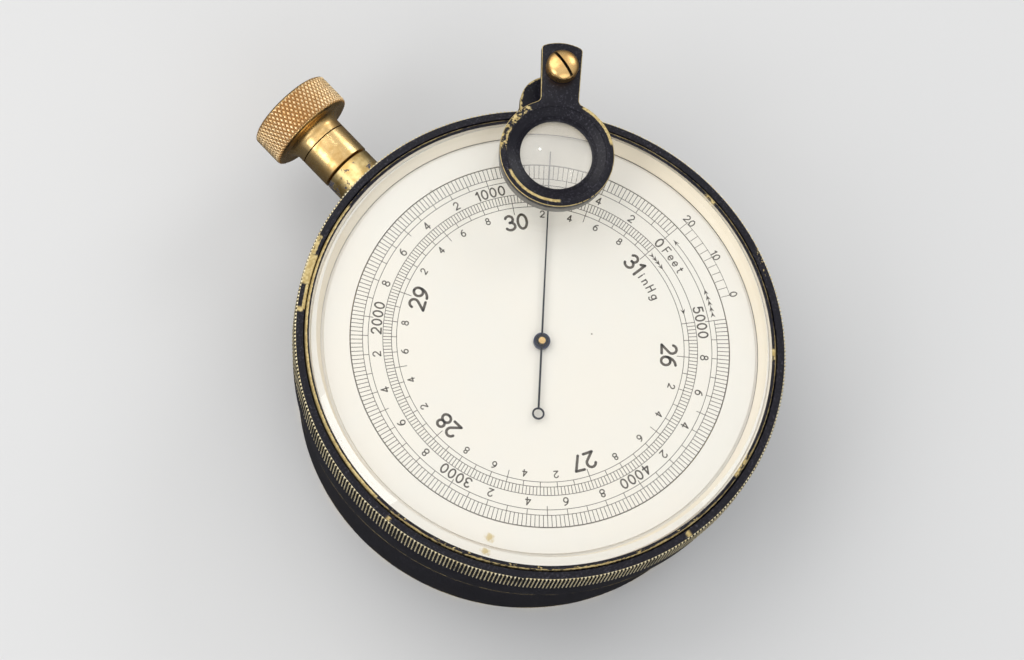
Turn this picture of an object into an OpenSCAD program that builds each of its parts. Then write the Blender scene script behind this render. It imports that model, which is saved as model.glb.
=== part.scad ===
// Surveying aneroid barometer: a round brass case with a silvered dial, a turning
// vernier ring driven by a knob on the side, and a magnifier on a reeded ring.
// Millimetres. The origin is the centre of the back face. +Z runs out through the
// dial and +Y runs towards the knob. Angles are clockwise from +Y, seen from +Z.

/* [Dial] */
// Radius of the inner, fixed dial plate
dial_r = 49.15; // [47:0.05:51]
// Width of the turning vernier ring round the dial
vernier_w = 6.6; // [5.6:0.1:8]
// Width of the silvered flange outside the vernier ring
flange_w = 3.4; // [2.6:0.1:4.5]
// Rise of the flange from the dial to the glass
flange_rise = 3; // [2.4:0.1:3.6]
// Thickness of the dial plate and the vernier ring
dial_t = 1; // [0.6:0.1:1.4]
// Sweep of the needle from 0 to 5000 feet, in degrees
scale_sweep = 327.35; // [300:0.05:340]
// Altitude that the needle shows at rest, in feet
rest_feet = 680; // [100:20:4900]
// Clockwise angle of the zero of the feet scale
zero_angle = 91.3; // [60:0.1:120]

/* [Case] */
// Height of the drum up to the shoulder ring
drum_h = 27.1; // [25.5:0.1:29]
// How far the drum stands inside the shoulder ring
drum_inset = 3.4; // [2.6:0.1:4.2]
// Thickness of the drum wall
case_wall = 2.2; // [1.6:0.1:2.6]
// Height of the shoulder ring
shoulder_h = 10.3; // [9.6:0.1:12]
// Thickness of the back cover
back_t = 2.8; // [2:0.1:3.2]
// Distance of the back cover's screws inside the drum wall
back_screw_in = 1.95; // [1.65:0.05:2.25]
// Number of screws in the back cover
back_screw_count = 4; // [3:1:8]

/* [Lens ring] */
// Height of the reeded ring
reed_h = 7.8; // [6.8:0.1:9]
// Number of reeds on the ring
reed_count = 400; // [120:20:400]
// Depth of the reeding
reed_depth = 0.35; // [0.2:0.05:0.5]
// Radial thickness of the reeded ring
reed_wall = 2.4; // [2:0.1:3]
// How far the reeded ring stands out past the shoulder ring
reed_step = 0.9; // [0.4:0.1:1.4]

/* [Glass] */
// Thickness of the glass
glass_t = 3.2; // [2.8:0.1:3.8]
// Width of the glass's bevelled edge
bevel_w = 1.85; // [1.5:0.05:2.4]
// Width of the bezel's face round the glass
bezel_w = 1.05; // [0.9:0.05:1.2]
// Wall of the bezel's threaded skirt
bezel_wall = 0.8; // [0.6:0.1:1.2]

/* [Magnifier] */
// Clockwise angle at which the magnifier stands
lens_angle = 47; // [0:1:359]
// Distance of the lens centre from the case's axis
lens_reach = 47.6; // [45:0.1:50]
// Height of the arm's top face above the dial
arm_rise = 14; // [13:0.1:16]
// Outer radius of the lens cell's face
cell_r = 15; // [13.5:0.1:16]
// Radius of the clear aperture
aperture_r = 9.4; // [8:0.1:10]
// Depth of the cell from the arm's top face
cell_depth = 4.9; // [4.4:0.1:5.2]
// Thickness of the arm's plate
arm_t = 1.8; // [1.4:0.1:2.2]
// Width of the arm
arm_w = 10.4; // [9:0.1:11.4]
// Distance of the arm's pivot screw outside the reeded ring
pivot_out = 7.65; // [7:0.05:9]
// Distance of the arm's tip beyond its pivot screw
tip_out = 7.3; // [6:0.1:8.5]
// Radius of the pivot screw's domed head
head_r = 4.2; // [3.6:0.1:4.4]
// Radius of the bracket's rounded lug
lug_r = 7.7; // [7:0.1:8.4]
// How far the lug's middle stands beside the arm, on the knob's side
lug_side = 1.4; // [0:0.1:2]
// Thickness of the bracket's lug
lug_t = 2.2; // [1.8:0.1:2.4]
// Thickness of the bracket's foot
foot_t = 1.6; // [1.2:0.1:2]
// Radius of the bracket's post, which carries the arm
lug_post_r = 4; // [3.4:0.1:4.4]

/* [Knob] */
// Height of the knob's axis above the back face
knob_z = 28.6; // [27:0.1:29.2]
// Outer radius of the pendant tube
pendant_r = 6.85; // [6:0.05:7.2]
// Length of the pendant tube outside the drum
pendant_out = 11.9; // [10:0.1:14]
// Gap between the pendant tube and the knob
knob_gap = 0.5; // [0.3:0.1:1.2]
// Radius of the knob's hub
hub_r = 7; // [6.2:0.1:7.6]
// Length of the knob's hub
hub_l = 8.6; // [7:0.1:10]
// Length of the neck between hub and head
neck_l = 4.2; // [3.5:0.1:5]
// Radius of the knob's head
head_out_r = 12.1; // [11:0.05:13]
// Length of the knob's head
head_l = 9.75; // [8:0.05:11]
// Number of flutes on the knob's head
flute_count = 56; // [40:1:64]
// Radius of the knob's shaft
shaft_r = 2; // [1.6:0.1:2.2]

/* [Vernier drive] */
// Number of teeth on the vernier ring
ring_teeth = 135; // [120:1:150]
// Number of teeth on the pinion
pinion_teeth = 10; // [9:1:12]
// Radial wall of the toothed skirt
skirt_wall = 2; // [1.6:0.1:2.4]
// How far the skirt starts outside the dial plate's edge
skirt_out = 3.7; // [3.4:0.1:4.2]

/* [Movement] */
// Radius of the movement's base plate
base_r = 48; // [47.6:0.1:50]
// Thickness of the movement's base plate
base_t = 2; // [1.5:0.1:2.6]
// Radius of the vacuum capsule
capsule_r = 29; // [24:0.5:30]
// Thickness of the capsule over its corrugations
capsule_t = 6.6; // [5:0.1:7.2]
// Number of corrugations on the capsule
wave_count = 5; // [3:1:6]
// Width of the main spring
spring_w = 22; // [16:0.5:26]
// Thickness of the main spring's leaf
spring_t = 1.5; // [1:0.1:1.8]
// Inner radius of the main spring's bend
bend_r = 2; // [1.6:0.1:2.4]
// Distance of the spring's bend from the case's axis
bend_y = 26; // [24:0.5:27]
// Height of the spring's bend and of the rocker's axis
rocker_z = 22; // [21.6:0.1:22.6]
// Distance of the rocker's axis from the case's axis
rocker_y = 40; // [39:0.1:41]
// Length of the rocker's short arm
short_arm = 5.54; // [5.3:0.01:5.8]
// Length of the rocker's upright arm
long_arm = 11; // [10.4:0.1:11.4]
// Radius of the chain drum on the pointer's arbor
drum_r = 1.11; // [1.05:0.01:1.2]
// Radius of the pointer's arbor
arbor_r = 0.9; // [0.7:0.05:1]
// Turns of the hairspring
hair_turns = 6; // [4:1:8]

/* [Needle] */
// Length of the needle from its centre to its tip
needle_l = 52; // [50:0.5:53]
// Distance of the tail's ring from the needle's centre
tail_l = 19.5; // [15:0.5:24]
// Outer radius of the tail's ring
tail_r = 1.6; // [1.2:0.1:2.2]
// Radius of the collet at the needle's centre
collet_r = 2.15; // [1.8:0.05:2.6]

/* [Hidden] */
$fn = 96;
// Running clearance of a part that turns in another
run_gap = 0.3;
// Radial clearance of a shaft in its bore
fit_gap = 0.05;
// A cut runs this far past the face that it starts from
past = 1;
// Thickness of the seat that the back cover's screws hold to
seat_t = 1.8;
// Width of that seat
seat_w = 3.6;
// Small chamfer on turned edges
edge = 0.4;
// Width of the driver's slot in a small screw
slot_w = 0.5;

shoulder_top = drum_h + shoulder_h;
dial_rise = 4.6;
dial_z = shoulder_top + dial_rise;
glass_z = dial_z + flange_rise;
bezel_rise = 1;
bezel_top = glass_z + bezel_rise;

vernier_gap = 0.15;
vernier_in = dial_r + vernier_gap;
vernier_r = vernier_in + vernier_w;
flange_in = vernier_r + fit_gap;
flange_r = flange_in + flange_w;
glass_land = 0.65;
glass_r = flange_r + glass_land;
spigot_r = glass_r + fit_gap;
bezel_r = spigot_r + bezel_wall;
bezel_in = bezel_r - bezel_w;
reed_in = bezel_r + run_gap;
reed_r = reed_in + reed_wall;
shoulder_r = reed_r - reed_step;
case_r = shoulder_r - drum_inset;
case_in = case_r - case_wall;
wall_lap = 2;
wall_top = shoulder_top - wall_lap;
seat_in = case_in - seat_w;
seat_z = back_t;
seat_top = seat_z + seat_t;
back_r = case_in - 2 * fit_gap;
back_screw_angle = 45;
back_screw_reach = case_in - back_screw_in;
back_screw_r = 1.1;
back_head_r = 1.85;
back_head_t = 0.9;
back_sink = 1;
flange_t = 0.3;
spigot_top = dial_z - dial_t + run_gap;
groove_h = 2.5;
groove_top = shoulder_top + groove_h;
glass_edge = 0.4;
bevel_slope = (glass_t - glass_edge) / bevel_w;
bezel_lip = 0.1;
bezel_seat = glass_z + glass_edge + fit_gap;
bezel_grip = bezel_seat + (spigot_r - bezel_in) * bevel_slope;
lip_r = spigot_r + run_gap;
lip_t = groove_h - 2 * run_gap;
reed_z = shoulder_top + run_gap;
reed_top = reed_z + reed_h;

skirt_in = dial_r + skirt_out;
skirt_r = skirt_in + skirt_wall;
gear_r = (skirt_in + skirt_r) / 2;
pitch = 2 * PI * gear_r / ring_teeth;
pinion_r = gear_r * pinion_teeth / ring_teeth;
pitch_z = knob_z + pinion_r;
tooth_tip = 0.55;
tooth_root = 0.9;
ring_tooth_w = 0.3 * pitch;
pinion_top_w = 0.2 * pitch;
pinion_pitch_w = 0.36 * pitch;
pinion_root_w = 0.5 * pitch;
pinion_tip = 0.6;
pinion_root = 0.75;
pinion_tip_r = pinion_r + pinion_tip;
pinion_root_r = pinion_r - pinion_root;
pinion_end = 0.3;
vernier_t = 0.6;
skirt_drop = 0.4;
skirt_gap = 0.4;

pendant_end = case_r + pendant_out;
pendant_in = 0.8;
pendant_start = case_in - pendant_in;
knob_y = pendant_end + knob_gap;
neck_y = knob_y + hub_l;
head_y = neck_y + neck_l;
knob_end = head_y + head_l;
shaft_start = skirt_in - pinion_end;
knob_edge = 0.2;
hub_groove = 0.25;
head_edge = 0.5;
flute_depth = 0.5;
flare_r = 2.4;
flare_steps = 6;

base_z = back_t;
base_top = base_z + base_t;
base_screw_count = 3;
base_screw_angle = 75;
base_screw_in = 6;
base_screw_r = 1.2;
base_head_r = 2.2;
base_head_t = 1.2;
boss_wall = 2.2;
boss_h = 4;
capsule_rise = 1.4;
capsule_z = base_top + capsule_rise;
capsule_top = capsule_z + capsule_t;
rim_w = 2;
rim_t = 1.6;
stud_r = 3;
bridge_t = 2.5;
bridge_z = rocker_z - bend_r - spring_t - bridge_t;
bridge_top = bridge_z + bridge_t;
bridge_y = -12;
bridge_d = 8;
leg_x = 34.25;
leg_w = 5.5;
heel_w = 8;
heel_l = 3;
bridge_screw_r = 1.2;
bridge_head_r = 1.9;
bridge_head_t = 0.6;
leaf_top = rocker_z + bend_r + spring_t;
saddle_gap = 0.8;
saddle_z = leaf_top + saddle_gap;
saddle_t = 1.5;
saddle_w = 12;
saddle_front = 3;
saddle_back = 8;
lever_z = saddle_z + saddle_t;
lever_t = 1.4;
lever_w = 5;
lever_back = 6;
post_r = 2;
post_gap = 0.35;
pin_r = 0.5;
pin_gap = 0.4;
eye_r = pin_r + pin_gap;
eye_wall = 0.7;
link_t = 1;
link_w = 1.8;
rod_t = 0.9;
rod_w = 1.2;
rod_end = 0.8;
hook_end = 0.5;
rocker_r = 1.2;
journal_r = 0.6;
rocker_half = 9;
rocker_post_t = 2;
rocker_post_w = 5;
rocker_post_rise = 2.4;
arm_x = link_t / 2 + pin_gap;

// The needle's travel, carried back to the rocker and the lever
feet_range = 5000;
feet_angle = scale_sweep / feet_range;
rest_angle = zero_angle - rest_feet * feet_angle;
mid_turn = (feet_range / 2 - rest_feet) * feet_angle;
rocker_ratio = long_arm / drum_r;
lever_reach = rocker_y - short_arm + bend_y;
lever_ratio = rocker_ratio * lever_reach / short_arm;
rocker_tilt = mid_turn / rocker_ratio;
lever_tilt = -mid_turn / lever_ratio;
hook_y = rocker_y - long_arm * sin(rocker_tilt);
hook_z = rocker_z + long_arm * cos(rocker_tilt);

cock_drop = 2.3;
cock_z = hook_z - cock_drop;
cock_t = 1.2;
cock_half = 37;
cock_d = 10;
cock_pillar_x = 34;
cock_pillar_r = 2.4;
chain_w = 0.4;
chain_gap = 0.3;
chain_hook = 1.6;
chain_drum_h = 1.2;
drum_flange_t = 0.3;
drum_flange = 0.25;
hair_rise = 2.4;
hair_z = hook_z + hair_rise;
hair_h = 0.7;
hair_t = 0.25;
hair_in = 1.9;
hair_out = 9;
hair_hub = 0.5;
hair_steps = 24;
hair_stud_w = 1.6;
carrier_t = 1.6;
carrier_z = dial_z - dial_t - carrier_t;
carrier_r = skirt_in - run_gap;
dial_bore = 0.6;
pillar_count = 3;
pillar_angle = 60;
pillar_in = 4;
pillar_reach = base_r - pillar_in;
pillar_r = 2.5;
needle_rise = 0.9;
needle_z = dial_z + needle_rise;
needle_t = 0.3;
needle_w = 0.5;
needle_hub = 0.9;
tip_w = 0.22;
tail_wall = 0.45;
tail_lap = 0.2;
tail_end = tail_r - tail_l - tail_lap;
collet_rise = 0.45;
collet_z = dial_z + collet_rise;
collet_t = 1.1;
arbor_tip = 0.3;
arbor_end = collet_z + collet_t + arbor_tip;
collet_gap = 0.02;
adjust_in = 12;
adjust_y = adjust_in - base_r;
adjust_r = 1.7;
adjust_head_r = 2.8;
adjust_head_t = 1.8;
adjust_seat = 0.6;
access_r = 3.2;

arm_top = dial_z + arm_rise;
arm_z = arm_top - arm_t;
cell_z = arm_top - cell_depth;
cell_rim = 0.3;
cell_wall_r = cell_r - cell_rim;
cell_wall = 2.1;
cell_in = cell_r - cell_wall;
cell_lip = 0.7;
lens_seat = 1.2;
lens_r = cell_in - 2 * fit_gap;
lens_edge = 1;
lens_lip = 0.2;
lens_bulge = 1.2;
lens_back = 0.35;
lens_z = cell_z + cell_lip;
lens_steps = 8;
dish_rise = 0.25;
dish_step = 0.9;
dish_drop = 1.7;
dish_z = arm_top - dish_drop;
dish_edge = 0.3;
dish_lip = 0.2;
dish_t = 0.4;
pivot_reach = reed_r + pivot_out;
arm_tip = pivot_reach + tip_out;
tip_corner = 1.8;
tip_bow = 12;
tip_run = 3;
washer_t = 0.25;
washer_r = head_r - edge / 2;
post_top = arm_z - fit_gap - washer_t;
lug_out = 2;
lug_turn = atan(lug_side / reed_r);
lug_z = reed_top - lug_t;
foot_rise = 0.8;
foot_z = shoulder_top + foot_rise;
screw_r = 1.5;
head_z = arm_top + fit_gap;
head_h = 4.3;
head_wall = 2.2;
head_steps = 6;
head_slot_w = 0.8;
head_slot_d = 1.3;
head_slot_angle = 128;
foot_screw_angle = 4.2;
foot_screw_z = (foot_z + lug_z) / 2;
foot_screw_r = 0.8;
foot_head_r = 1.6;
foot_head_t = 0.9;

lacquer = [0.06, 0.06, 0.07];
brass = [0.72, 0.55, 0.28];
silvered = [0.9, 0.88, 0.8];
steel = [0.6, 0.62, 0.65];
blued = [0.08, 0.12, 0.25];

// A plain ring from z to z + h
module ring(outer, inner, z, h) {
    translate([0, 0, z]) difference() {
        cylinder(r = outer, h = h);
        translate([0, 0, -past]) cylinder(r = inner, h = h + 2 * past);
    }
}

module turned(points) rotate_extrude() polygon(points);

// Places its children on a circle, the first at a clockwise angle from +Y
module around(count, reach, start = 0) {
    for (i = [0 : count - 1])
        rotate([0, 0, -start - i * 360 / count]) translate([0, reach, 0]) children();
}

// Lays a part built up along +Z down along +Y, on the knob's axis
module on_knob_axis() translate([0, 0, knob_z]) rotate([-90, 0, 0]) children();

// A cheese-head screw that points down, with the underside of its head at z = 0
module cheese_screw(head, head_t, shank, length) {
    difference() {
        cylinder(r = head, h = head_t);
        translate([-head - past, -slot_w / 2, head_t / 2])
            cube([2 * (head + past), slot_w, head_t]);
    }
    translate([0, 0, -length]) cylinder(r = shank, h = length);
}

// A regular polar outline with a repeating list of [share of pitch, radius]
function polar_outline(count, profile) = [
    for (i = [0 : count - 1], p = profile)
        let (a = (i + p[0]) * 360 / count) [p[1] * cos(a), p[1] * sin(a)]
];

module case_body() color(lacquer) difference() {
    turned([[case_in, 0], [case_r - edge, 0], [case_r, edge], [case_r, wall_top],
        [case_in, wall_top], [case_in, seat_top], [seat_in, seat_top],
        [seat_in, seat_z], [case_in, seat_z]]);
    on_knob_axis() translate([0, 0, pendant_start]) cylinder(r = pendant_r, h = pendant_out);
    around(back_screw_count, back_screw_reach, back_screw_angle)
        translate([0, 0, seat_z - past]) cylinder(r = back_screw_r, h = seat_t + 2 * past);
}

module back_cover() color(lacquer) difference() {
    cylinder(r = back_r, h = back_t);
    around(back_screw_count, back_screw_reach, back_screw_angle) {
        translate([0, 0, -past]) cylinder(r = back_screw_r, h = back_t + 2 * past);
        translate([0, 0, -past]) cylinder(r = back_head_r + fit_gap, h = past + back_sink);
    }
    translate([0, adjust_y, -past]) cylinder(r = access_r, h = back_t + 2 * past);
}

module back_screws() color(brass)
    around(back_screw_count, back_screw_reach, back_screw_angle)
        translate([0, 0, back_sink]) mirror([0, 0, 1])
            cheese_screw(back_head_r, back_head_t, back_screw_r, seat_top - back_sink);

module shoulder_ring() color(lacquer) difference() {
    turned([[case_r, drum_h], [shoulder_r - edge, drum_h], [shoulder_r, drum_h + edge],
        [shoulder_r, shoulder_top], [spigot_r, shoulder_top], [spigot_r, spigot_top],
        [case_in, spigot_top], [case_in, wall_top], [case_r, wall_top]]);
    on_knob_axis() translate([0, 0, pendant_start]) cylinder(r = pendant_r, h = pendant_out);
}

module flange_ring() color(silvered)
    turned([[flange_in, dial_z], [flange_r, glass_z], [spigot_r - fit_gap, glass_z],
        [spigot_r - fit_gap, spigot_top], [case_in, spigot_top], [case_in, dial_z - flange_t],
        [flange_in, dial_z - flange_t]]);

module glass() color([0.8, 0.9, 0.88, 0.35])
    turned([[0, glass_z], [glass_r, glass_z], [glass_r, glass_z + glass_edge],
        [glass_r - bevel_w, glass_z + glass_t], [0, glass_z + glass_t]]);

module glass_bezel() color(lacquer)
    turned([[spigot_r, groove_top], [bezel_r, groove_top], [bezel_r, bezel_top - edge],
        [bezel_r - edge, bezel_top], [bezel_in, bezel_grip + bezel_lip],
        [bezel_in, bezel_grip], [spigot_r, bezel_seat]]);

module lens_ring() color(lacquer) difference() {
    translate([0, 0, reed_z]) linear_extrude(reed_h)
        polygon(polar_outline(reed_count, [[0, reed_r], [0.5, reed_r - reed_depth]]));
    translate([0, 0, reed_z - past]) cylinder(r = lip_r, h = reed_h + 2 * past);
    translate([0, 0, reed_z + lip_t]) cylinder(r = reed_in, h = reed_h);
    rotate([0, 0, -lens_angle]) foot_screw_places() cylinder(r = foot_screw_r, h = reed_wall);
}

module pendant_tube() color(brass) on_knob_axis() difference() {
    translate([0, 0, pendant_start]) cylinder(r = pendant_r, h = pendant_end - pendant_start);
    translate([0, 0, pendant_start - past])
        cylinder(r = shaft_r + fit_gap, h = pendant_end - pendant_start + 2 * past);
}

module base_plate() color(brass) difference() {
    union() {
        translate([0, 0, base_z]) cylinder(r = base_r, h = base_t);
        translate([0, adjust_y, base_top]) cylinder(r = adjust_r + boss_wall, h = boss_h);
    }
    translate([0, adjust_y, base_z - past])
        cylinder(r = adjust_r + fit_gap, h = base_t + boss_h + 2 * past);
    translate([0, adjust_y, base_z - past]) cylinder(r = access_r, h = past + adjust_seat);
    base_screw_places() translate([0, 0, -base_t - past])
        cylinder(r = base_screw_r, h = base_t + 2 * past);
}

module base_screw_places() around(base_screw_count, base_r - base_screw_in, base_screw_angle)
    translate([0, 0, base_top]) children();

module base_screws() color(steel) base_screw_places()
    cheese_screw(base_head_r, base_head_t, base_screw_r, base_t);

// Corrugated half profile of the capsule, as [radius, height above its middle]
wave_steps = 8 * wave_count;
wave_depth = 0.55;
wave_in = 7;
function wave(i) = let (s = i / wave_steps)
    [wave_in + s * (capsule_r - rim_w - wave_in),
     capsule_t / 2 - wave_depth + wave_depth * cos(360 * s * wave_count)];

module capsule() color(silvered) {
    translate([0, 0, capsule_z + capsule_t / 2]) turned(concat(
        [[0, -capsule_t / 2]],
        [for (i = [0 : wave_steps]) [wave(i)[0], -wave(i)[1]]],
        [[capsule_r, -rim_t / 2], [capsule_r, rim_t / 2]],
        [for (i = [wave_steps : -1 : 0]) wave(i)],
        [[0, capsule_t / 2]]));
    translate([0, 0, base_top]) cylinder(r = stud_r, h = capsule_z - base_top);
}

module spring_bridge() color(brass) difference() {
    union() {
        translate([-leg_x - leg_w / 2, bridge_y - bridge_d / 2, bridge_z])
            cube([2 * leg_x + leg_w, bridge_d, bridge_t]);
        translate([-heel_w / 2, adjust_y - heel_l, bridge_z])
            cube([heel_w, bridge_y - adjust_y, bridge_t]);
        for (side = [-1, 1])
            translate([side * leg_x - leg_w / 2, bridge_y - bridge_d / 2, base_top])
                cube([leg_w, bridge_d, bridge_z - base_top]);
    }
    bridge_screw_places() translate([0, 0, -bridge_t - past])
        cylinder(r = bridge_screw_r, h = bridge_t + 2 * past);
}

module bridge_screw_places()
    for (side = [-1, 1])
        translate([side * spring_w / 4, bridge_y + bridge_d / 4, bridge_top]) children();

module bridge_screws() color(steel)
    bridge_screw_places() translate([0, 0, spring_t])
        cheese_screw(bridge_head_r, bridge_head_t, bridge_screw_r, bridge_t);

// A leaf bent back on itself round the bend's axis
module main_spring() color(steel) difference() {
    union() {
        translate([0, -bend_y, rocker_z]) rotate([0, 90, 0]) difference() {
            cylinder(r = bend_r + spring_t, h = spring_w, center = true);
            cylinder(r = bend_r, h = spring_w + 2 * past, center = true);
            translate([-bend_r - spring_t - past, 0, -spring_w / 2 - past])
                cube([2 * (bend_r + spring_t + past), bend_r + spring_t + past,
                    spring_w + 2 * past]);
        }
        translate([-spring_w / 2, -bend_y, bridge_top])
            cube([spring_w, bend_y + bridge_y + bridge_d / 2, spring_t]);
        translate([-spring_w / 2, -bend_y, leaf_top - spring_t])
            cube([spring_w, bend_y - post_r - saddle_gap, spring_t]);
    }
    bridge_screw_places() translate([0, 0, -past])
        cylinder(r = bridge_screw_r, h = spring_t + 2 * past);
}

module rocker_posts() color(brass)
    for (side = [-1, 1]) difference() {
        translate([side * (rocker_half + rocker_post_t / 2) - rocker_post_t / 2,
            rocker_y - rocker_post_w / 2, base_top])
            cube([rocker_post_t, rocker_post_w, rocker_z + rocker_post_rise - base_top]);
        translate([side * (rocker_half + rocker_post_t / 2), rocker_y, rocker_z])
            rotate([0, 90, 0])
                cylinder(r = journal_r + fit_gap, h = rocker_post_t + 2 * past, center = true);
    }

module arbor_cock() color(brass) difference() {
    translate([-cock_half, -cock_d / 2, cock_z]) cube([2 * cock_half, cock_d, cock_t]);
    translate([0, 0, cock_z - past]) cylinder(r = journal_r + fit_gap, h = cock_t + 2 * past);
}

module cock_pillars() color(brass)
    for (side = [-1, 1]) translate([side * cock_pillar_x, 0, base_top])
        cylinder(r = cock_pillar_r, h = cock_z - base_top);

module dial_carrier() color(brass) difference() {
    union() {
        translate([0, 0, carrier_z]) cylinder(r = carrier_r, h = carrier_t - run_gap);
        translate([0, 0, carrier_z]) cylinder(r = dial_r, h = carrier_t);
    }
    translate([0, 0, carrier_z - past]) cylinder(r = arbor_r + fit_gap, h = carrier_t + 2 * past);
}

module dial_pillars() color(brass)
    around(pillar_count, pillar_reach, pillar_angle) translate([0, 0, base_top])
        cylinder(r = pillar_r, h = carrier_z - base_top);

module dial_plate() color(silvered)
    ring(dial_r, arbor_r + dial_bore, dial_z - dial_t, dial_t);

// The spiral's outer or inner face at step i, from the inner to the outer turn
hair_end = hair_steps * hair_turns;
function spiral(i, side) =
    let (a = 360 * i / hair_steps,
        r = hair_in + (hair_out - hair_in) * i / hair_end + side * hair_t / 2)
    [r * cos(a), r * sin(a)];

module hairspring() color(blued) translate([0, 0, hair_z]) linear_extrude(hair_h)
    polygon(concat([for (i = [0 : hair_end]) spiral(i, 1)],
        [for (i = [hair_end : -1 : 0]) spiral(i, -1)]));

module hairspring_stud() color(brass)
    translate([hair_out + hair_t / 2, -hair_stud_w / 2, hair_z])
        cube([hair_stud_w, hair_stud_w, carrier_z - hair_z]);

// The chain from the drum to the hook on the rocker's upright arm
module drum_chain() color(steel)
    translate([drum_r + chain_gap, chain_w, hook_z - chain_w / 2])
        cube([chain_w, hook_y - chain_hook - chain_w - chain_gap, chain_w]);

module adjusting_screw() color(brass)
    translate([0, adjust_y, base_z + adjust_seat - fit_gap]) mirror([0, 0, 1])
        cheese_screw(adjust_head_r, adjust_head_t, adjust_r, bridge_z - base_z - adjust_seat);

module vernier_ring() color(silvered) difference() {
    turned([[vernier_in, dial_z], [vernier_r, dial_z], [vernier_r, dial_z - vernier_t],
        [case_in - skirt_gap, dial_z - vernier_t],
        [case_in - skirt_gap, dial_z - dial_t - skirt_drop],
        [skirt_r, dial_z - dial_t - skirt_drop], [skirt_r, pitch_z - tooth_tip],
        [skirt_in, pitch_z - tooth_tip], [skirt_in, dial_z - dial_t],
        [vernier_in, dial_z - dial_t]]);
    for (i = [0 : ring_teeth - 1]) rotate([0, 0, i * 360 / ring_teeth])
        translate([-(pitch - ring_tooth_w) / 2, skirt_in - past, pitch_z - tooth_tip - past])
            cube([pitch - ring_tooth_w, skirt_wall + 2 * past, tooth_tip + tooth_root + past]);
}

// Smooth concave flare from the hub to the head, as [radius, distance]
flare = [for (i = [0 : flare_steps]) let (a = 90 * i / flare_steps)
    [hub_r + flare_r * (1 - cos(a)), head_y - flare_r + flare_r * sin(a)]];
head_body_r = head_out_r - flute_depth + edge / 4;

module knob() color(brass) on_knob_axis() difference() {
    union() {
        turned(concat([[0, knob_y], [hub_r - knob_edge, knob_y], [hub_r, knob_y + knob_edge],
            [hub_r, neck_y - hub_groove], [hub_r - hub_groove, neck_y],
            [hub_r, neck_y + hub_groove]], flare,
            [[head_body_r - head_edge, head_y], [head_body_r, head_y + head_edge],
            [head_body_r, knob_end - head_edge], [head_body_r - head_edge, knob_end],
            [0, knob_end]]));
        translate([0, 0, head_y + head_edge]) linear_extrude(head_l - 2 * head_edge)
            polygon(polar_outline(flute_count,
                [[0, head_out_r], [0.5, head_out_r - flute_depth]]));
    }
    translate([0, 0, knob_y - past]) cylinder(r = shaft_r, h = hub_l + past);
}

module knob_shaft() color(steel) on_knob_axis()
    translate([0, 0, shaft_start]) cylinder(r = shaft_r, h = knob_y + hub_l - shaft_start);

module pinion() color(brass) on_knob_axis() difference() {
    translate([0, 0, shaft_start]) linear_extrude(skirt_wall + 2 * pinion_end) union() {
        circle(r = pinion_root_r);
        for (i = [0 : pinion_teeth - 1]) rotate(i * 360 / pinion_teeth)
            polygon([[-pinion_root_w / 2, 0], [-pinion_root_w / 2, -pinion_root_r],
                [-pinion_pitch_w / 2, -pinion_r], [-pinion_top_w / 2, -pinion_tip_r],
                [pinion_top_w / 2, -pinion_tip_r], [pinion_pitch_w / 2, -pinion_r],
                [pinion_root_w / 2, -pinion_root_r], [pinion_root_w / 2, 0]]);
    }
    translate([0, 0, shaft_start - past])
        cylinder(r = shaft_r, h = skirt_wall + 2 * (pinion_end + past));
}

module pointer() color(blued) rotate([0, 0, -rest_angle]) translate([0, 0, needle_z])
    linear_extrude(needle_t) difference() {
        union() {
            circle(r = arbor_r + needle_hub);
            polygon([[-needle_w / 2, tail_end], [needle_w / 2, tail_end], [needle_w / 2, 0],
                [tip_w / 2, needle_l], [-tip_w / 2, needle_l], [-needle_w / 2, 0]]);
            translate([0, -tail_l]) circle(r = tail_r, $fn = 48);
        }
        circle(r = arbor_r);
        translate([0, -tail_l]) circle(r = tail_r - tail_wall, $fn = 48);
    }

module pointer_collet() color(blued) difference() {
    union() {
        ring(collet_r, arbor_r, collet_z, needle_z - collet_z);
        ring(collet_r, arbor_r + needle_hub, needle_z, collet_t - needle_z + collet_z);
    }
    rotate([0, 0, -rest_angle])
        translate([-needle_w / 2 - collet_gap, -collet_r - past, needle_z])
            cube([needle_w + 2 * collet_gap, 2 * (collet_r + past), collet_t]);
}

module pointer_arbor() color(steel) {
    translate([0, 0, cock_z]) cylinder(r = journal_r, h = cock_t + fit_gap);
    translate([0, 0, cock_z + cock_t + fit_gap])
        cylinder(r = arbor_r, h = arbor_end - cock_z - cock_t - fit_gap);
    ring(drum_r, arbor_r, hook_z - chain_drum_h / 2, chain_drum_h);
    ring(drum_r + drum_flange, arbor_r, hook_z - chain_drum_h / 2 - drum_flange_t, drum_flange_t);
    ring(hair_in - hair_hub, arbor_r, hair_z, hair_h);
}

// Turns its children about the spring's bend, as the lever stands at rest
module on_lever() translate([0, -bend_y, rocker_z]) rotate([lever_tilt, 0, 0])
    translate([0, bend_y, -rocker_z]) children();

module capsule_post() color(steel)
    translate([0, 0, capsule_top + post_gap])
        cylinder(r = post_r, h = saddle_z - post_gap - capsule_top);

module lever_saddle() color(brass) on_lever() difference() {
    translate([-saddle_w / 2, -saddle_back, saddle_z])
        cube([saddle_w, saddle_back + saddle_front, saddle_t]);
    translate([0, 0, saddle_z - past]) cylinder(r = post_r + 2 * fit_gap, h = saddle_t + 2 * past);
}

module main_lever() color(brass) on_lever()
    translate([-lever_w / 2, -lever_back, lever_z])
        cube([lever_w, lever_reach - bend_y + lever_back + eye_r + eye_wall, lever_t]);

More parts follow.
